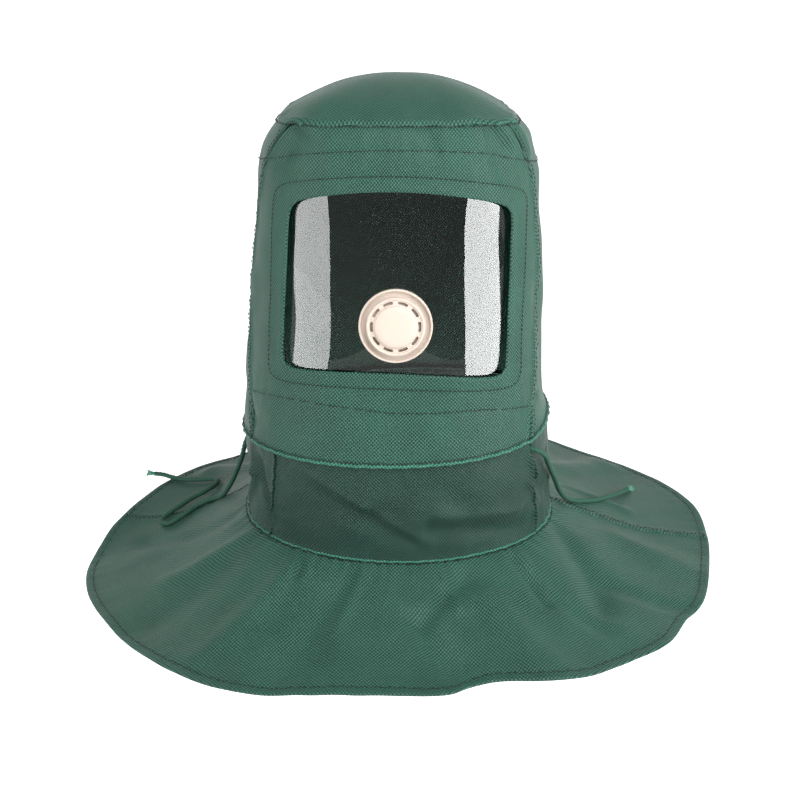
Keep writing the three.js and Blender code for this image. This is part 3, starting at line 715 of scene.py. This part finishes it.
def seams_relief(rows, key, at, turn, around, high, lines, strength):
    """Relief of a cloth's stitched lines, its upper and lower seams and its two side seams"""
    along = math.radians(turn) * around
    relief = lines + seam_relief(at * high, along) + seam_relief((1 - at) * high, along)
    join = between(rows, key, at, "seam_left")
    relief *= beside_join(math.radians(turned(turn - join)) * around)
    for side in SIDE_SEAMS:
        seam = between(rows, key, at, side)
        relief += strength * seam_relief(math.radians(turned(turn - seam)) * around, at * high)
    return relief


def hood_relief(turn, rise):
    """Stitched lines across the hood"""
    along = math.radians(turn) * HOOD_WIDTH / 2
    relief = stitch_relief((rise - line_rise(UPPER_STITCHES, turn)) * HOOD_HEIGHT, along)
    if LOWER_STITCHES[0]["turn"] < turned(turn) < LOWER_STITCHES[-1]["turn"]:
        relief += stitch_relief((rise - line_rise(LOWER_STITCHES, turn)) * HOOD_HEIGHT, along)
    return relief


def hood_surface(turn, rise, out=0.0):
    """The hood's cloth with its seams and stitched lines"""
    lines = hood_relief(turn, rise)
    relief = seams_relief(HOOD_SECTIONS, "rise", rise, turn, HOOD_WIDTH / 2, HOOD_HEIGHT, lines, 1.0)
    return hood_point(turn, rise, relief + out)


def band_surface(turn, fall, out=0.0):
    relief = seams_relief(BAND_SECTIONS, "fall", fall, turn, NECK_WIDTH / 2, BAND_HEIGHT, 0.0, BAND_SEAM)
    return band_point(turn, fall, relief + out)


def cape_length(turn):
    return (cape_rim(turn) - cape_neck(turn)).length


def cape_surface(turn, out, lift=0.0):
    length = cape_length(turn)
    along = math.radians(turn) * CAPE_WIDTH / 2
    around = lerp(NECK_WIDTH / 2, CAPE_WIDTH / 2, out)
    relief = stitch_relief((1 - out) * length - STITCH_INSET, along)
    relief += NECK_GATHER * pucker(out * length, along * NECK_GATHER_PITCH)
    relief *= beside_join(math.radians(turned(turn - SHOULDER_SEAMS["left"])) * around)
    for seam in SHOULDER_SEAMS.values():
        away = math.radians(turned(turn - seam)) * around
        if abs(away) < SEAM_ZONE:
            relief += seam_relief(away, out * length)
            relief += ridge(away - ALLOWANCE_AT, ALLOWANCE_LIFT, ALLOWANCE_REACH)
    return cape_point(turn, out, relief + lift)


def crown_cloth(material):
    columns = even_lines(round(CROWN_GIRTH / MESH_STEP))
    rows = turned_lines(CROWN_REACH, end="pole")

    def place(column, row):
        turn = 360 * inset(column, 1.0) - 180
        reach = section_reach(hood_section(1), turn)
        if row[0] == "share":
            inward = lerp(EDGE_ZONE / reach, 1.0, row[1])
        else:
            inward = (row[1] - CROWN_LAP) / reach
        inset_at = inward * reach
        swell = ridge(inset_at - CROWN_SWELL_AT, CROWN_SWELL, CROWN_SWELL_REACH)
        relief = swell + pucker(inset_at, math.radians(turn) * reach) if row[2] == 0 else 0.0
        point = crown_point(turn, inward, relief - row[2] * FOLD)
        return point, point.x, point.y

    piece = panel("crown_cloth", columns, rows, place, closed=True)
    dress(piece, material, "cloth", "crown_panel")


def hood_front_cloth(material):
    loop = 2 * (WINDOW_WIDTH + WINDOW_HEIGHT)
    columns = even_lines(4 * round(loop / MESH_STEP / 4))
    rows = turned_lines(FRONT_REACH)

    def place(column, row):
        a, b = square_edge(inset(column, 1.0))
        inner = window_place(a, b, 0)
        outer = panel_edge(a, b)
        start = hood_point(*inner)
        length = (hood_point(*outer) - start).length
        share = inset(row, length) / length
        turn, rise = lerp_pair(inner, outer, share)
        lip = ridge(inset(row, length) - LIP_AT, LIP_SWELL, LIP_REACH)
        drop = row[2] * FOLD
        surface = hood_surface if drop == 0 else hood_point
        point = surface(turn, rise, lip - drop)
        return point, math.radians(turn) * HOOD_WIDTH / 2, point.z

    piece = panel("hood_front_cloth", columns, rows, place, closed=True)
    dress(piece, material, "cloth", "hood_front_panel")


def side_to_side(rows_table, key, at, back):
    """The turns of a panel's two side seams at a level. A back panel runs from the right seam to the left."""
    left, right = [between(rows_table, key, at, side) for side in SIDE_SEAMS]
    return (right, left + 360) if back else (left, right)


def hood_back_cloth(material):
    around = HOOD_WIDTH / 2
    columns = sewn_lines(math.radians(BACK_SPAN) * around)
    rows = sewn_lines(HOOD_HEIGHT)

    def place(column, row):
        rise = inset(row, HOOD_HEIGHT) / HOOD_HEIGHT
        start, end = side_to_side(HOOD_SECTIONS, "rise", rise, True)
        arc = math.radians(end - start) * around
        turn = lerp(start, end, inset(column, arc) / arc)
        point = hood_surface(turn, rise)
        return point, math.radians(turn) * around, point.z

    piece = panel("hood_back_cloth", columns, rows, place)
    dress(piece, material, "cloth", "hood_back_panel")


def band_cloth(name, back, material, node):
    around = NECK_WIDTH / 2
    columns = sewn_lines(math.radians(BAND_SPANS["back" if back else "front"]) * around, BAND_STEP)
    rows = sewn_lines(BAND_HEIGHT, BAND_STEP)

    def place(column, row):
        fall = 1 - inset(row, BAND_HEIGHT) / BAND_HEIGHT
        start, end = side_to_side(BAND_SECTIONS, "fall", fall, back)
        arc = math.radians(end - start) * around
        turn = lerp(start, end, inset(column, arc) / arc)
        point = band_surface(turn, fall)
        return point, math.radians(turn) * around, point.z

    piece = panel(name, columns, rows, place)
    dress(piece, material, "cloth", node)


def cape_cloth(name, start, end, material, node):
    arc = math.radians(end - start) * CAPE_AROUND
    columns = sewn_lines(arc)
    rows = turned_lines(CAPE_REACH)

    def place(column, row):
        turn = lerp(start, end, inset(column, arc) / arc)
        length = cape_length(turn)
        out = 1 - inset(row, length + NECK_TUCK) / length
        drop = row[2] * FOLD
        point = cape_surface(turn, out) if drop == 0 else cape_point(turn, out, -drop)
        return point, point.x, point.y

    piece = panel(name, columns, rows, place)
    dress(piece, material, "cloth", node)


# Sewing
NEARBY_TURN = 0.4
NEARBY_RISE = 0.006


def thread_line(name, surface, path, material, depth=0.0006):
    """A line of stitches on a surface, along a path of places on it"""
    points = [surface(*place, depth) for place in path]
    mesh = bmesh.new()
    travelled = 0.0
    wanted = STITCH_PITCH / 2
    for i in range(len(points) - 1):
        step = points[i + 1] - points[i]
        length = step.length
        while travelled + length >= wanted and length > 0:
            share = (wanted - travelled) / length
            middle = points[i] + step * share
            turn, rise = path[i]
            aside = surface(turn + NEARBY_TURN, rise, depth) - points[i]
            above = surface(turn, rise + NEARBY_RISE, depth) - points[i]
            normal = aside.cross(above).normalized()
            if normal.dot(Vector((middle.x, middle.y, 0.05))) < 0:
                normal.negate()
            tangent = step.normalized()
            side = normal.cross(tangent).normalized()
            turn_to = Matrix((tangent, side, normal)).transposed().to_4x4()
            size = Matrix.Diagonal((STITCH_LENGTH / 2, THREAD / 2, THREAD / 2, 1.0))
            spot = Matrix.Translation(middle + normal * THREAD * 0.2)
            bmesh.ops.create_icosphere(mesh, subdivisions=1, radius=1.0, matrix=spot @ turn_to @ size)
            wanted += STITCH_PITCH
        travelled += length
    smooth(mesh)
    piece = object_from(name, mesh)
    dress(piece, material, "cord")


def seam_roll(name, surface, at, radius, material):
    """The rolled edge of the cloth that stands along a seam, right round the hood"""
    sides = 10
    count = 360
    mesh = bmesh.new()
    bmesh.ops.create_grid(mesh, x_segments=count, y_segments=sides, size=1.0)
    weave = mesh.loops.layers.uv.new("weave")
    for vertex in mesh.verts:
        turn = vertex.co.x * 180
        angle = (vertex.co.y + 1) * math.pi
        middle = surface(turn, at)
        out = Vector((middle.x, middle.y, 0)).normalized()
        vertex.co = middle + out * radius * math.cos(angle) + Vector((0, 0, radius * math.sin(angle)))
    smooth(mesh)
    for face in mesh.faces:
        for loop in face.loops:
            place = loop.vert.co
            loop[weave].uv = (math.atan2(place.x, -place.y) * HOOD_WIDTH / 2, place.z)
    bmesh.ops.remove_doubles(mesh, verts=mesh.verts, dist=1e-6)
    bmesh.ops.recalc_face_normals(mesh, faces=mesh.faces)
    piece = object_from(name, mesh)
    dress(piece, material, "cloth")


def seam_rolls(material):
    seam_roll("lower_seam_roll", hood_surface, 0.006, 0.0011, material)
    seam_roll("neck_seam_roll", band_surface, 0.98, 0.0009, material)
    seam_roll("crown_seam_roll", hood_surface, 0.998, 0.0012, material)


def steps(start, end, count):
    return [lerp(start, end, i / count) for i in range(count + 1)]


def sewing(material):
    sides = steps(-180, 180, 420)
    thread_line("upper_stitches", hood_surface, [(t, line_rise(UPPER_STITCHES, t)) for t in sides], material)
    low = steps(LOWER_STITCHES[0]["turn"], LOWER_STITCHES[-1]["turn"], 200)
    thread_line("lower_stitches", hood_surface, [(t, line_rise(LOWER_STITCHES, t)) for t in low], material)
    frame_path = [window_place(*square_edge(s), FRAME_MARGIN) for s in steps(0, 1, 400)]
    thread_line("window_stitches", hood_surface, frame_path, material)
    rises = steps(0.02, 0.98, 160)
    for side, away in (("left", -1.6), ("right", 1.2)):
        seam = [(between(HOOD_SECTIONS, "rise", r, "seam_" + side) + away, r) for r in rises]
        thread_line(side + "_seam_stitches", hood_surface, seam, material)
    thread_line("lower_seam_stitches", hood_surface, [(t, 0.0155) for t in sides], material)
    # The crown's stitches sit just under the crown's roll: real stitching, and also painted shadow of the
    # roll
    thread_line("crown_stitches_and_painted_shadow", hood_surface, [(t, 0.9915) for t in sides], material)
    thread_line("neck_stitches", cape_surface, [(t, 0.03) for t in sides], material)
    hem = [(t, 1 - STITCH_INSET / cape_length(t)) for t in steps(-180, 180, 900)]
    thread_line("hem_stitches", cape_surface, hem, material)
    for side, seam in SHOULDER_SEAMS.items():
        path = [(seam + 1.3 * lerp(1.0, 0.55, out), out) for out in steps(0.06, 0.97, 120)]
        thread_line(side + "_shoulder_stitches", cape_surface, path, material)


# Visor
def visor_sheet(material):
    columns = even_lines(96)
    rows = even_lines(16)

    def place(column, row):
        a, b = square_edge(inset(column, 1.0))
        round_hole = VALVE_HOLE / math.hypot(a, b)
        valve_level = LOWER_SEAM + VALVE_RISE
        inner = front_place(VALVE_OFFSET + a * round_hole, valve_level + b * round_hole)
        outer = window_place(a, b, VISOR_LAP)
        share = inset(row, 1.0)
        turn, rise = lerp_pair(inner, outer, share)
        low = lower_seam_level(turn)
        wave = ripple(turn, rise * HOOD_HEIGHT, HOOD_WIDTH / 2, 0.05, 0.0004)
        reach = section_reach(hood_section(rise), turn) - lerp(0.0024, 0.0038, share**0.5) + wave * share
        point = placed(turn, reach, lerp(low, CROWN_SEAM - WALL, rise))
        return point, math.radians(turn) * HOOD_WIDTH / 2, point.z

    piece = panel("visor_sheet", columns, rows, place, closed=True, thickness=VISOR_SHEET)
    dress(piece, material, "visor", "visor")


# Valve
FLANGE_PROFILE = (
    (0.0119, -0.0048), (0.0157, -0.0048), (0.0157, -0.0032), (0.0135, -0.0030), (0.0135, 0.0003),
    (0.0244, 0.0003), (0.0249, 0.0006), (0.0251, 0.0012), (0.0251, 0.0036), (0.0249, 0.0042),
    (0.0245, 0.0045), (0.0240, 0.0044), (0.0236, 0.0040), (0.0234, 0.0034), (0.0231, 0.0027),
    (0.0225, 0.0022), (0.0215, 0.0019), (0.0178, 0.0019), (0.0170, 0.0042), (0.0119, 0.0042),
)
CAP_PROFILE = (
    (0.0, 0.0050), (0.0172, 0.0050), (0.0180, 0.0046), (0.0181, 0.0021), (0.0196, 0.0021),
    (0.0199, 0.0030), (0.0199, 0.0062), (0.0197, 0.0071), (0.0192, 0.0076), (0.0187, 0.0076),
    (0.0182, 0.0072), (0.0179, 0.0067), (0.0147, 0.0066), (0.0144, 0.0069), (0.0142, 0.0076),
    (0.0139, 0.0082), (0.0133, 0.0085), (0.0100, 0.0088), (0.0, 0.0090),
)
VALVE_SIDES = 96
SLOT_COUNT = 10
SLOT_RING = 0.0163
SLOT_LENGTH = 0.0068
SLOT_WIDTH = 0.0021


def turned_solid(profile, closed):
    mesh = bmesh.new()
    corners = [mesh.verts.new((radius, 0.0, height)) for radius, height in profile]
    edges = [mesh.edges.new(pair) for pair in zip(corners, corners[1:])]
    if closed:
        edges.append(mesh.edges.new((corners[-1], corners[0])))
    bmesh.ops.spin(
        mesh, geom=corners + edges, cent=(0, 0, 0), axis=(0, 0, 1), angle=2 * math.pi,
        steps=VALVE_SIDES, use_merge=True,
    )
    bmesh.ops.remove_doubles(mesh, verts=mesh.verts, dist=1e-6)
    bmesh.ops.recalc_face_normals(mesh, faces=mesh.faces)
    smooth(mesh)
    return mesh


def valve_place():
    """The valve's place on the front wall, which leans back"""
    level = LOWER_SEAM + VALVE_RISE

    def at(height):
        turn, rise = front_place(VALVE_OFFSET, height)
        reach = section_reach(hood_section(rise), turn) - WALL
        return placed(turn, reach, lerp(lower_seam_level(turn), CROWN_SEAM - WALL, rise))

    above = at(level + WINDOW_HEIGHT / 4)
    below = at(level - WINDOW_HEIGHT / 4)
    lean = math.atan2(above.y - below.y, above.z - below.z)
    return Matrix.Translation(at(level)) @ Matrix.Rotation(math.pi / 2 - lean, 4, "X")


def slot_cutter():
    mesh = bmesh.new()
    for number in range(SLOT_COUNT):
        angle = 2 * math.pi * number / SLOT_COUNT
        for bit in range(-2, 3):
            turn = angle + bit * (SLOT_LENGTH - SLOT_WIDTH) / 4 / SLOT_RING
            spot = Matrix.Rotation(turn, 4, "Z") @ Matrix.Translation((SLOT_RING, 0, 0.006))
            bmesh.ops.create_cone(
                mesh, cap_ends=True, segments=16, radius1=SLOT_WIDTH / 2, radius2=SLOT_WIDTH / 2,
                depth=0.004, matrix=spot,
            )
    return object_from("slot_cutter", mesh)


def with_slots(cap):
    """The cap with its slots cut through, as a plain mesh"""
    cutter = slot_cutter()
    cut = cap.modifiers.new("slots", "BOOLEAN")
    cut.operation = "DIFFERENCE"
    cut.solver = "EXACT"
    cut.use_self = True
    cut.object = cutter
    graph = bpy.context.evaluated_depsgraph_get()
    result = bpy.data.meshes.new_from_object(cap.evaluated_get(graph))
    cap.modifiers.clear()
    cap.data = result
    bpy.data.objects.remove(cutter)


def valve(material):
    where = valve_place()
    flange = turned_solid(FLANGE_PROFILE, closed=True)
    bmesh.ops.transform(flange, matrix=where, verts=flange.verts)
    piece = object_from("valve_flange", flange)
    dress(piece, material, "valve", "valve_body")
    cap = object_from("valve_disc", turned_solid(CAP_PROFILE, closed=False))
    with_slots(cap)
    cap.data.transform(where)
    cap.data.set_sharp_from_angle(angle=math.radians(50))
    dress(cap, material, "valve", "valve_cap")


# Drawcord
def smooth_route(route, step):
    """Points a step apart on a smooth curve through a route"""
    points = [Vector((x, y, level)) * 0.001 - Vector((0, 0, HEAD_SEAT)) for x, y, level in route]
    dense = []
    for i in range(len(points) - 1):
        before = points[max(i - 1, 0)]
        start, end = points[i], points[i + 1]
        after = points[min(i + 2, len(points) - 1)]
        for k in range(24):
            t = k / 24
            bend = (2 * start - 2 * end + (end - before) / 2 + (after - start) / 2) * t**3
            bend += (3 * end - 3 * start - (end - before) - (after - start) / 2) * t**2
            dense.append(bend + (end - before) / 2 * t + start)
    dense.append(points[-1])
    walked = [0.0]
    for a, b in zip(dense, dense[1:]):
        walked.append(walked[-1] + (b - a).length)
    total = walked[-1]
    count = round(total / step)
    result = []
    at = 0
    for k in range(count + 1):
        wanted = total * k / count
        while at < len(dense) - 2 and walked[at + 1] < wanted:
            at += 1
        share = (wanted - walked[at]) / max(walked[at + 1] - walked[at], 1e-9)
        result.append(dense[at].lerp(dense[at + 1], share))
    return result, total


def cord_frames(points):
    """A side and a normal for each point, carried along without twisting"""
    normal = Vector((0, 0, 1))
    frames = []
    for i, point in enumerate(points):
        tangent = (points[min(i + 1, len(points) - 1)] - points[max(i - 1, 0)]).normalized()
        normal = (normal - tangent * normal.dot(tangent)).normalized()
        frames.append((tangent, normal, tangent.cross(normal)))
    return frames


def cord(name, route, node, material, fray_material, seed):
    ring_step = 0.0009
    points, length = smooth_route(route, ring_step)
    frames = cord_frames(points)
    sides = 20
    mesh = bmesh.new()
    bmesh.ops.create_grid(mesh, x_segments=sides, y_segments=len(points) - 1, size=1.0)
    for vertex in mesh.verts:
        side = round((vertex.co.x + 1) / 2 * sides)
        ring = round((vertex.co.y + 1) / 2 * (len(points) - 1))
        angle = 2 * math.pi * side / sides
        along = ring * ring_step
        strand = 1.5 * (angle - 2 * math.pi * along / CORD_LAY)
        radius = CORD_DIAMETER / 2 * (0.74 + 0.3 * abs(math.cos(strand)) ** 0.8)
        _, normal, across = frames[ring]
        vertex.co = points[ring] + (normal * math.sin(angle) - across * math.cos(angle)) * radius
    bmesh.ops.remove_doubles(mesh, verts=mesh.verts, dist=1e-6)
    rims = [edge for edge in mesh.edges if edge.is_boundary]
    bmesh.ops.holes_fill(mesh, edges=rims, sides=0)
    bmesh.ops.recalc_face_normals(mesh, faces=mesh.faces)
    smooth(mesh)
    piece = object_from(name, mesh)
    dress(piece, material, "cord", node)
    fray = frayed_end(name + "_fray", points[-1], frames[-1], fray_material, seed)


FRAY_FIBRES = 70
FIBRE_RADIUS = 0.00016
FIBRE_LENGTHS = (0.003, 0.0085)
FIBRE_CURL = 0.0003
FIBRE_START = 0.001  # how far inside the cord's end they begin


def frayed_end(name, tip, frame_at_tip, material, seed):
    """Loose fibres at a cord's bare end"""
    tangent, normal, across = frame_at_tip
    chance = random.Random(seed)
    curve = bpy.data.curves.new(name, "CURVE")
    curve.dimensions = "3D"
    curve.bevel_depth = FIBRE_RADIUS
    curve.bevel_resolution = 1
    for _ in range(FRAY_FIBRES):
        angle = chance.uniform(0, 2 * math.pi)
        start = CORD_DIAMETER * 0.36 * math.sqrt(chance.random())
        spread = chance.uniform(0.05, 0.4)
        length = chance.uniform(*FIBRE_LENGTHS)
        away = normal * math.sin(angle) * 0.7 + across * math.cos(angle)
        fibre = curve.splines.new("POLY")
        fibre.points.add(4)
        for k in range(5):
            t = k / 4
            curl = Vector([chance.uniform(-1, 1) for _ in range(3)]) * FIBRE_CURL * t
            along = tangent * (length * t - FIBRE_START)
            place = tip + away * start + along + away * (spread * length * t * t) + curl
            fibre.points[k].co = (*place, 1.0)
    piece = linked(name, curve)
    dress(piece, material, "cord")
    return piece


# Materials
def linear(hex_code):
    channels = [int(hex_code[i : i + 2], 16) / 255 for i in (1, 3, 5)]
    return (*[c / 12.92 if c <= 0.04045 else ((c + 0.055) / 1.055) ** 2.4 for c in channels], 1.0)


def fill(tree, node, inputs):
    """Fills a node's inputs with values or links"""
    for name, value in inputs.items():
        if isinstance(value, bpy.types.NodeSocket):
            tree.links.new(value, node.inputs[name])
        else:
            node.inputs[name].default_value = value


def add(tree, kind, inputs=None, **settings):
    """Adds a node with its settings, and fills its inputs"""
    node = tree.nodes.new(kind)
    for name, value in settings.items():
        setattr(node, name, value)
    fill(tree, node, inputs or {})
    return node


def new_material(name):
    material = bpy.data.materials.new(name)
    material.use_nodes = True
    return material, material.node_tree, material.node_tree.nodes["Principled BSDF"]


def coated_oxford(name, light, dark):
    """Polyester oxford, basket woven and coated: small raised checks set slantwise, with a soft sheen"""
    material, tree, shader = new_material(name)
    weave_pitch = 0.0026  # two thread bundles, drawn a little coarser than the real cloth so that they show
    place = add(tree, "ShaderNodeTexCoord").outputs["UV"]
    uneven = add(tree, "ShaderNodeTexNoise", {"Vector": place, "Scale": 260.0, "Detail": 2.0})
    shift = add(
        tree, "ShaderNodeVectorMath", {0: uneven.outputs["Color"], "Scale": 0.0006}, operation="SCALE",
    )
    moved = add(tree, "ShaderNodeVectorMath", {0: place, 1: shift.outputs["Vector"]})
    axes = add(tree, "ShaderNodeSeparateXYZ", {"Vector": moved.outputs["Vector"]})
    waves = []
    per_metre = 2 * math.pi / weave_pitch
    for axis in ("X", "Y"):
        angle = add(tree, "ShaderNodeMath", {0: axes.outputs[axis], 1: per_metre}, operation="MULTIPLY")
        waves.append(add(tree, "ShaderNodeMath", {0: angle.outputs[0]}, operation="SINE").outputs[0])
    checks = add(tree, "ShaderNodeMath", {0: waves[0], 1: waves[1]}, operation="MULTIPLY")
    height = add(tree, "ShaderNodeMapRange", {"Value": checks.outputs[0], "From Min": -0.5, "From Max": 0.5})
    patches = add(
        tree, "ShaderNodeTexNoise", {"Vector": place, "Scale": 26.0, "Detail": 4.0, "Roughness": 0.6},
    )
    # The tint is partly painted shade: the weave's sunken checks are darker than its raised ones; the large
    # patches vary the tone at random
    tone = add(
        tree, "ShaderNodeMath", {0: patches.outputs["Fac"], 1: 0.5, 2: height.outputs[0]},
        operation="MULTIPLY_ADD",
    )
    share = add(tree, "ShaderNodeMapRange", {"Value": tone.outputs[0], "From Min": 0.15, "From Max": 1.3})
    tint = add(
        tree, "ShaderNodeMix", {0: share.outputs[0], 6: linear(dark), 7: linear(light)}, data_type="RGBA",
    )
    bump = add(tree, "ShaderNodeBump", {"Height": height.outputs[0], "Strength": 1.0, "Distance": 0.0006})
    rough = add(tree, "ShaderNodeMapRange", {"Value": patches.outputs["Fac"], "To Min": 0.42, "To Max": 0.56})
    fill(tree, shader, {
        "Base Color": tint.outputs[2], "Normal": bump.outputs[0], "Roughness": rough.outputs[0],
        "IOR": 1.4, "Sheen Weight": 0.06, "Sheen Roughness": 0.45, "Sheen Tint": linear(COLOURS["sheen"]),
    })
    return material


def twisted_thread(name, light, dark, scale):
    """Spun polyester thread: matt, with fine fibres that catch the light"""
    material, tree, shader = new_material(name)
    place = add(tree, "ShaderNodeTexCoord").outputs["Object"]
    fibres = add(
        tree, "ShaderNodeTexNoise", {"Vector": place, "Scale": scale, "Detail": 3.0, "Roughness": 0.7},
    )
    tint = add(
        tree, "ShaderNodeMix", {0: fibres.outputs["Fac"], 6: linear(dark), 7: linear(light)},
        data_type="RGBA",
    )
    bump = add(tree, "ShaderNodeBump", {"Height": fibres.outputs["Fac"], "Strength": 0.4, "Distance": 0.0002})
    fill(tree, shader, {
        "Base Color": tint.outputs[2], "Normal": bump.outputs[0], "Roughness": 0.75, "Sheen Weight": 0.04,
    })
    return material


def moulded_polypropylene(name):
    """Moulded polypropylene: warm white, satin, slightly waxy"""
    material, tree, shader = new_material(name)
    place = add(tree, "ShaderNodeTexCoord").outputs["Object"]
    grain = add(tree, "ShaderNodeTexNoise", {"Vector": place, "Scale": 900.0, "Detail": 2.0})
    clouds = add(tree, "ShaderNodeTexNoise", {"Vector": place, "Scale": 60.0, "Detail": 2.0})
    amount = add(tree, "ShaderNodeMapRange", {"Value": clouds.outputs["Fac"], "To Max": 0.14})
    clear, clouded = linear(COLOURS["valve"]), linear(COLOURS["valve_clouds"])
    tint = add(tree, "ShaderNodeMix", {0: amount.outputs[0], 6: clear, 7: clouded}, data_type="RGBA")
    bump = add(tree, "ShaderNodeBump", {"Height": grain.outputs["Fac"], "Strength": 0.08, "Distance": 0.0001})
    fill(tree, shader, {
        "Base Color": tint.outputs[2], "Normal": bump.outputs[0], "Roughness": 0.5, "IOR": 1.49,
        "Subsurface Weight": 0.12, "Subsurface Scale": 0.002,
    })
    return material


def clear_sheet(name):
    """Clear rolled plastic sheet, polished on both faces: see-through, with mirror-like reflections"""
    material, tree, shader = new_material(name)
    fill(tree, shader, {
        "Base Color": linear(COLOURS["visor"]), "Roughness": 0.0, "IOR": 1.54, "Transmission Weight": 1.0,
    })
    return material


def matt_paper(name):
    """Seamless background paper, matt and near white. It glows, painted light that is brighter behind the
    hood than in front of it and that also lights the hood from below
    """
    material, tree, shader = new_material(name)
    place = add(tree, "ShaderNodeTexCoord").outputs["Object"]
    grain = add(tree, "ShaderNodeTexNoise", {"Vector": place, "Scale": 30.0, "Detail": 3.0})
    rough = add(tree, "ShaderNodeMapRange", {"Value": grain.outputs["Fac"], "To Min": 0.85, "To Max": 0.95})
    axes = add(tree, "ShaderNodeSeparateXYZ", {"Vector": place})
    # Painted light: the paper's glow, weaker in front of the hood than behind it
    glow = add(
        tree, "ShaderNodeMapRange",
        {"Value": axes.outputs["Y"], "From Min": -0.6, "From Max": 0.1, "To Min": 0.25, "To Max": 0.85},
    )
    fill(tree, shader, {
        "Base Color": linear(COLOURS["floor"]), "Roughness": rough.outputs[0],
        "Emission Color": WHITE, "Emission Strength": glow.outputs[0],
    })
    return material


# Camera, light and floor
CAMERA_DISTANCE = 0.937
CAMERA_LEVEL = 0.436
CAMERA_PITCH = 18
PHOTO_FOCAL = 1282
PHOTO_WIDTH = 800
SENSOR = 36

# Background paper
FLOOR_DROP = 0.30  # below the cape's side hems
FLOOR_NEAR = 4.0  # towards the camera
FLOOR_FAR = 3.0  # behind the hood, up to the bend
FLOOR_BEND = 2.0
FLOOR_LENGTH = 12.0
FLOOR_WIDTH = 16.0

SOFTBOXES = table(
    "name place aim size power",
    ("key", (0.2, -0.64, 0.37), (0, 0, -0.1), (0.4, 0.4), 4.6),
    ("top", (0.2, -0.45, 1.2), (0, 0, -0.16), (0.8, 0.8), 7),
    ("left_panel", (-1.14, -0.72, 0.0), (0, 0, 0), (0.9, 1.0), 12.5),
    ("right_panel", (1.12, -0.74, 0.0), (0, 0, 0), (0.9, 1.0), 22),
)
WORLD_STRENGTH = 0.2


def camera():
    data = bpy.data.cameras.new("camera")
    data.sensor_width = SENSOR
    data.lens = SENSOR * PHOTO_FOCAL / PHOTO_WIDTH
    piece = linked("camera", data)
    piece.location = (0, -CAMERA_DISTANCE, CAMERA_LEVEL - HEAD_SEAT)
    piece.rotation_euler = (math.radians(90 - CAMERA_PITCH), 0, 0)
    bpy.context.scene.camera = piece


def softbox(name, place, aim, size, power):
    data = bpy.data.lights.new(name, "AREA")
    data.shape = "RECTANGLE"
    data.size, data.size_y = size
    data.energy = power
    piece = linked(name, data)
    piece.location = place
    piece.rotation_euler = (Vector(aim) - Vector(place)).to_track_quat("-Z", "Y").to_euler()


def lights():
    for box in SOFTBOXES:
        softbox(**box)
    world = bpy.data.worlds.new("studio")
    world.use_nodes = True
    background = world.node_tree.nodes["Background"]
    fill(world.node_tree, background, {"Color": WHITE, "Strength": WORLD_STRENGTH})
    bpy.context.scene.world = world
    bpy.context.scene.view_settings.view_transform = "Standard"
    bpy.context.scene.cycles.caustics_refractive = False


def floor(material):
    """A pale paper sweep below the hood and up behind it"""
    low = -HEAD_SEAT - FLOOR_DROP
    mesh = bmesh.new()
    bmesh.ops.create_grid(mesh, x_segments=2, y_segments=40, size=1.0)
    for vertex in mesh.verts:
        run = (vertex.co.y + 1) / 2 * FLOOR_LENGTH - FLOOR_NEAR
        bend = min(max(run - FLOOR_FAR, 0.0) / FLOOR_BEND, math.pi / 2)
        along = min(run, FLOOR_FAR) + FLOOR_BEND * math.sin(bend)
        rise = FLOOR_BEND * (1 - math.cos(bend)) + max(run - FLOOR_FAR - FLOOR_BEND * math.pi / 2, 0.0)
        vertex.co = (vertex.co.x * FLOOR_WIDTH / 2, along, low + rise)
    smooth(mesh)
    piece = object_from("floor", mesh)
    piece.data.materials.append(material)


def main():
    camera()
    cord_material = twisted_thread("twisted_cord", COLOURS["cord"], COLOURS["cord_dark"], 1800.0)
    fray_material = twisted_thread("frayed_fibres", COLOURS["fray"], COLOURS["cord"], 1200.0)
    cord("drawcord_left", CORD_LEFT_ROUTE, "cord_left", cord_material, fray_material, 4)
    cord("drawcord_right", CORD_RIGHT_ROUTE, "cord_right", cord_material, fray_material, 9)
    hood_material = coated_oxford("coated_oxford", COLOURS["cloth"], COLOURS["cloth_dark"])
    # The band gets the cloth in darker colours, painted shade
    shaded_band_material = coated_oxford("coated_oxford_painted_shade", COLOURS["band"], COLOURS["band_dark"])
    thread_material = twisted_thread("sewing_thread", COLOURS["thread"], COLOURS["cord_dark"], 1500.0)
    crown_cloth(hood_material)
    hood_front_cloth(hood_material)
    hood_back_cloth(hood_material)
    band_cloth("band_front_cloth", False, shaded_band_material, "neck_band_front")
    band_cloth("band_back_cloth", True, shaded_band_material, "neck_band_back")
    left, right = SHOULDER_SEAMS["left"], SHOULDER_SEAMS["right"]
    cape_cloth("cape_front_cloth", left, right, hood_material, "cape_front")
    cape_cloth("cape_back_cloth", right, left + 360, hood_material, "cape_back")
    # The seam rolls get the cloth in lighter colours, painted highlight
    seam_rolls(coated_oxford("coated_oxford_painted_highlight", COLOURS["roll"], COLOURS["roll_dark"]))
    sewing(thread_material)
    visor_sheet(clear_sheet("clear_visor_sheet"))
    valve(moulded_polypropylene("moulded_polypropylene"))
    floor(matt_paper("background_paper"))
    lights()


main()
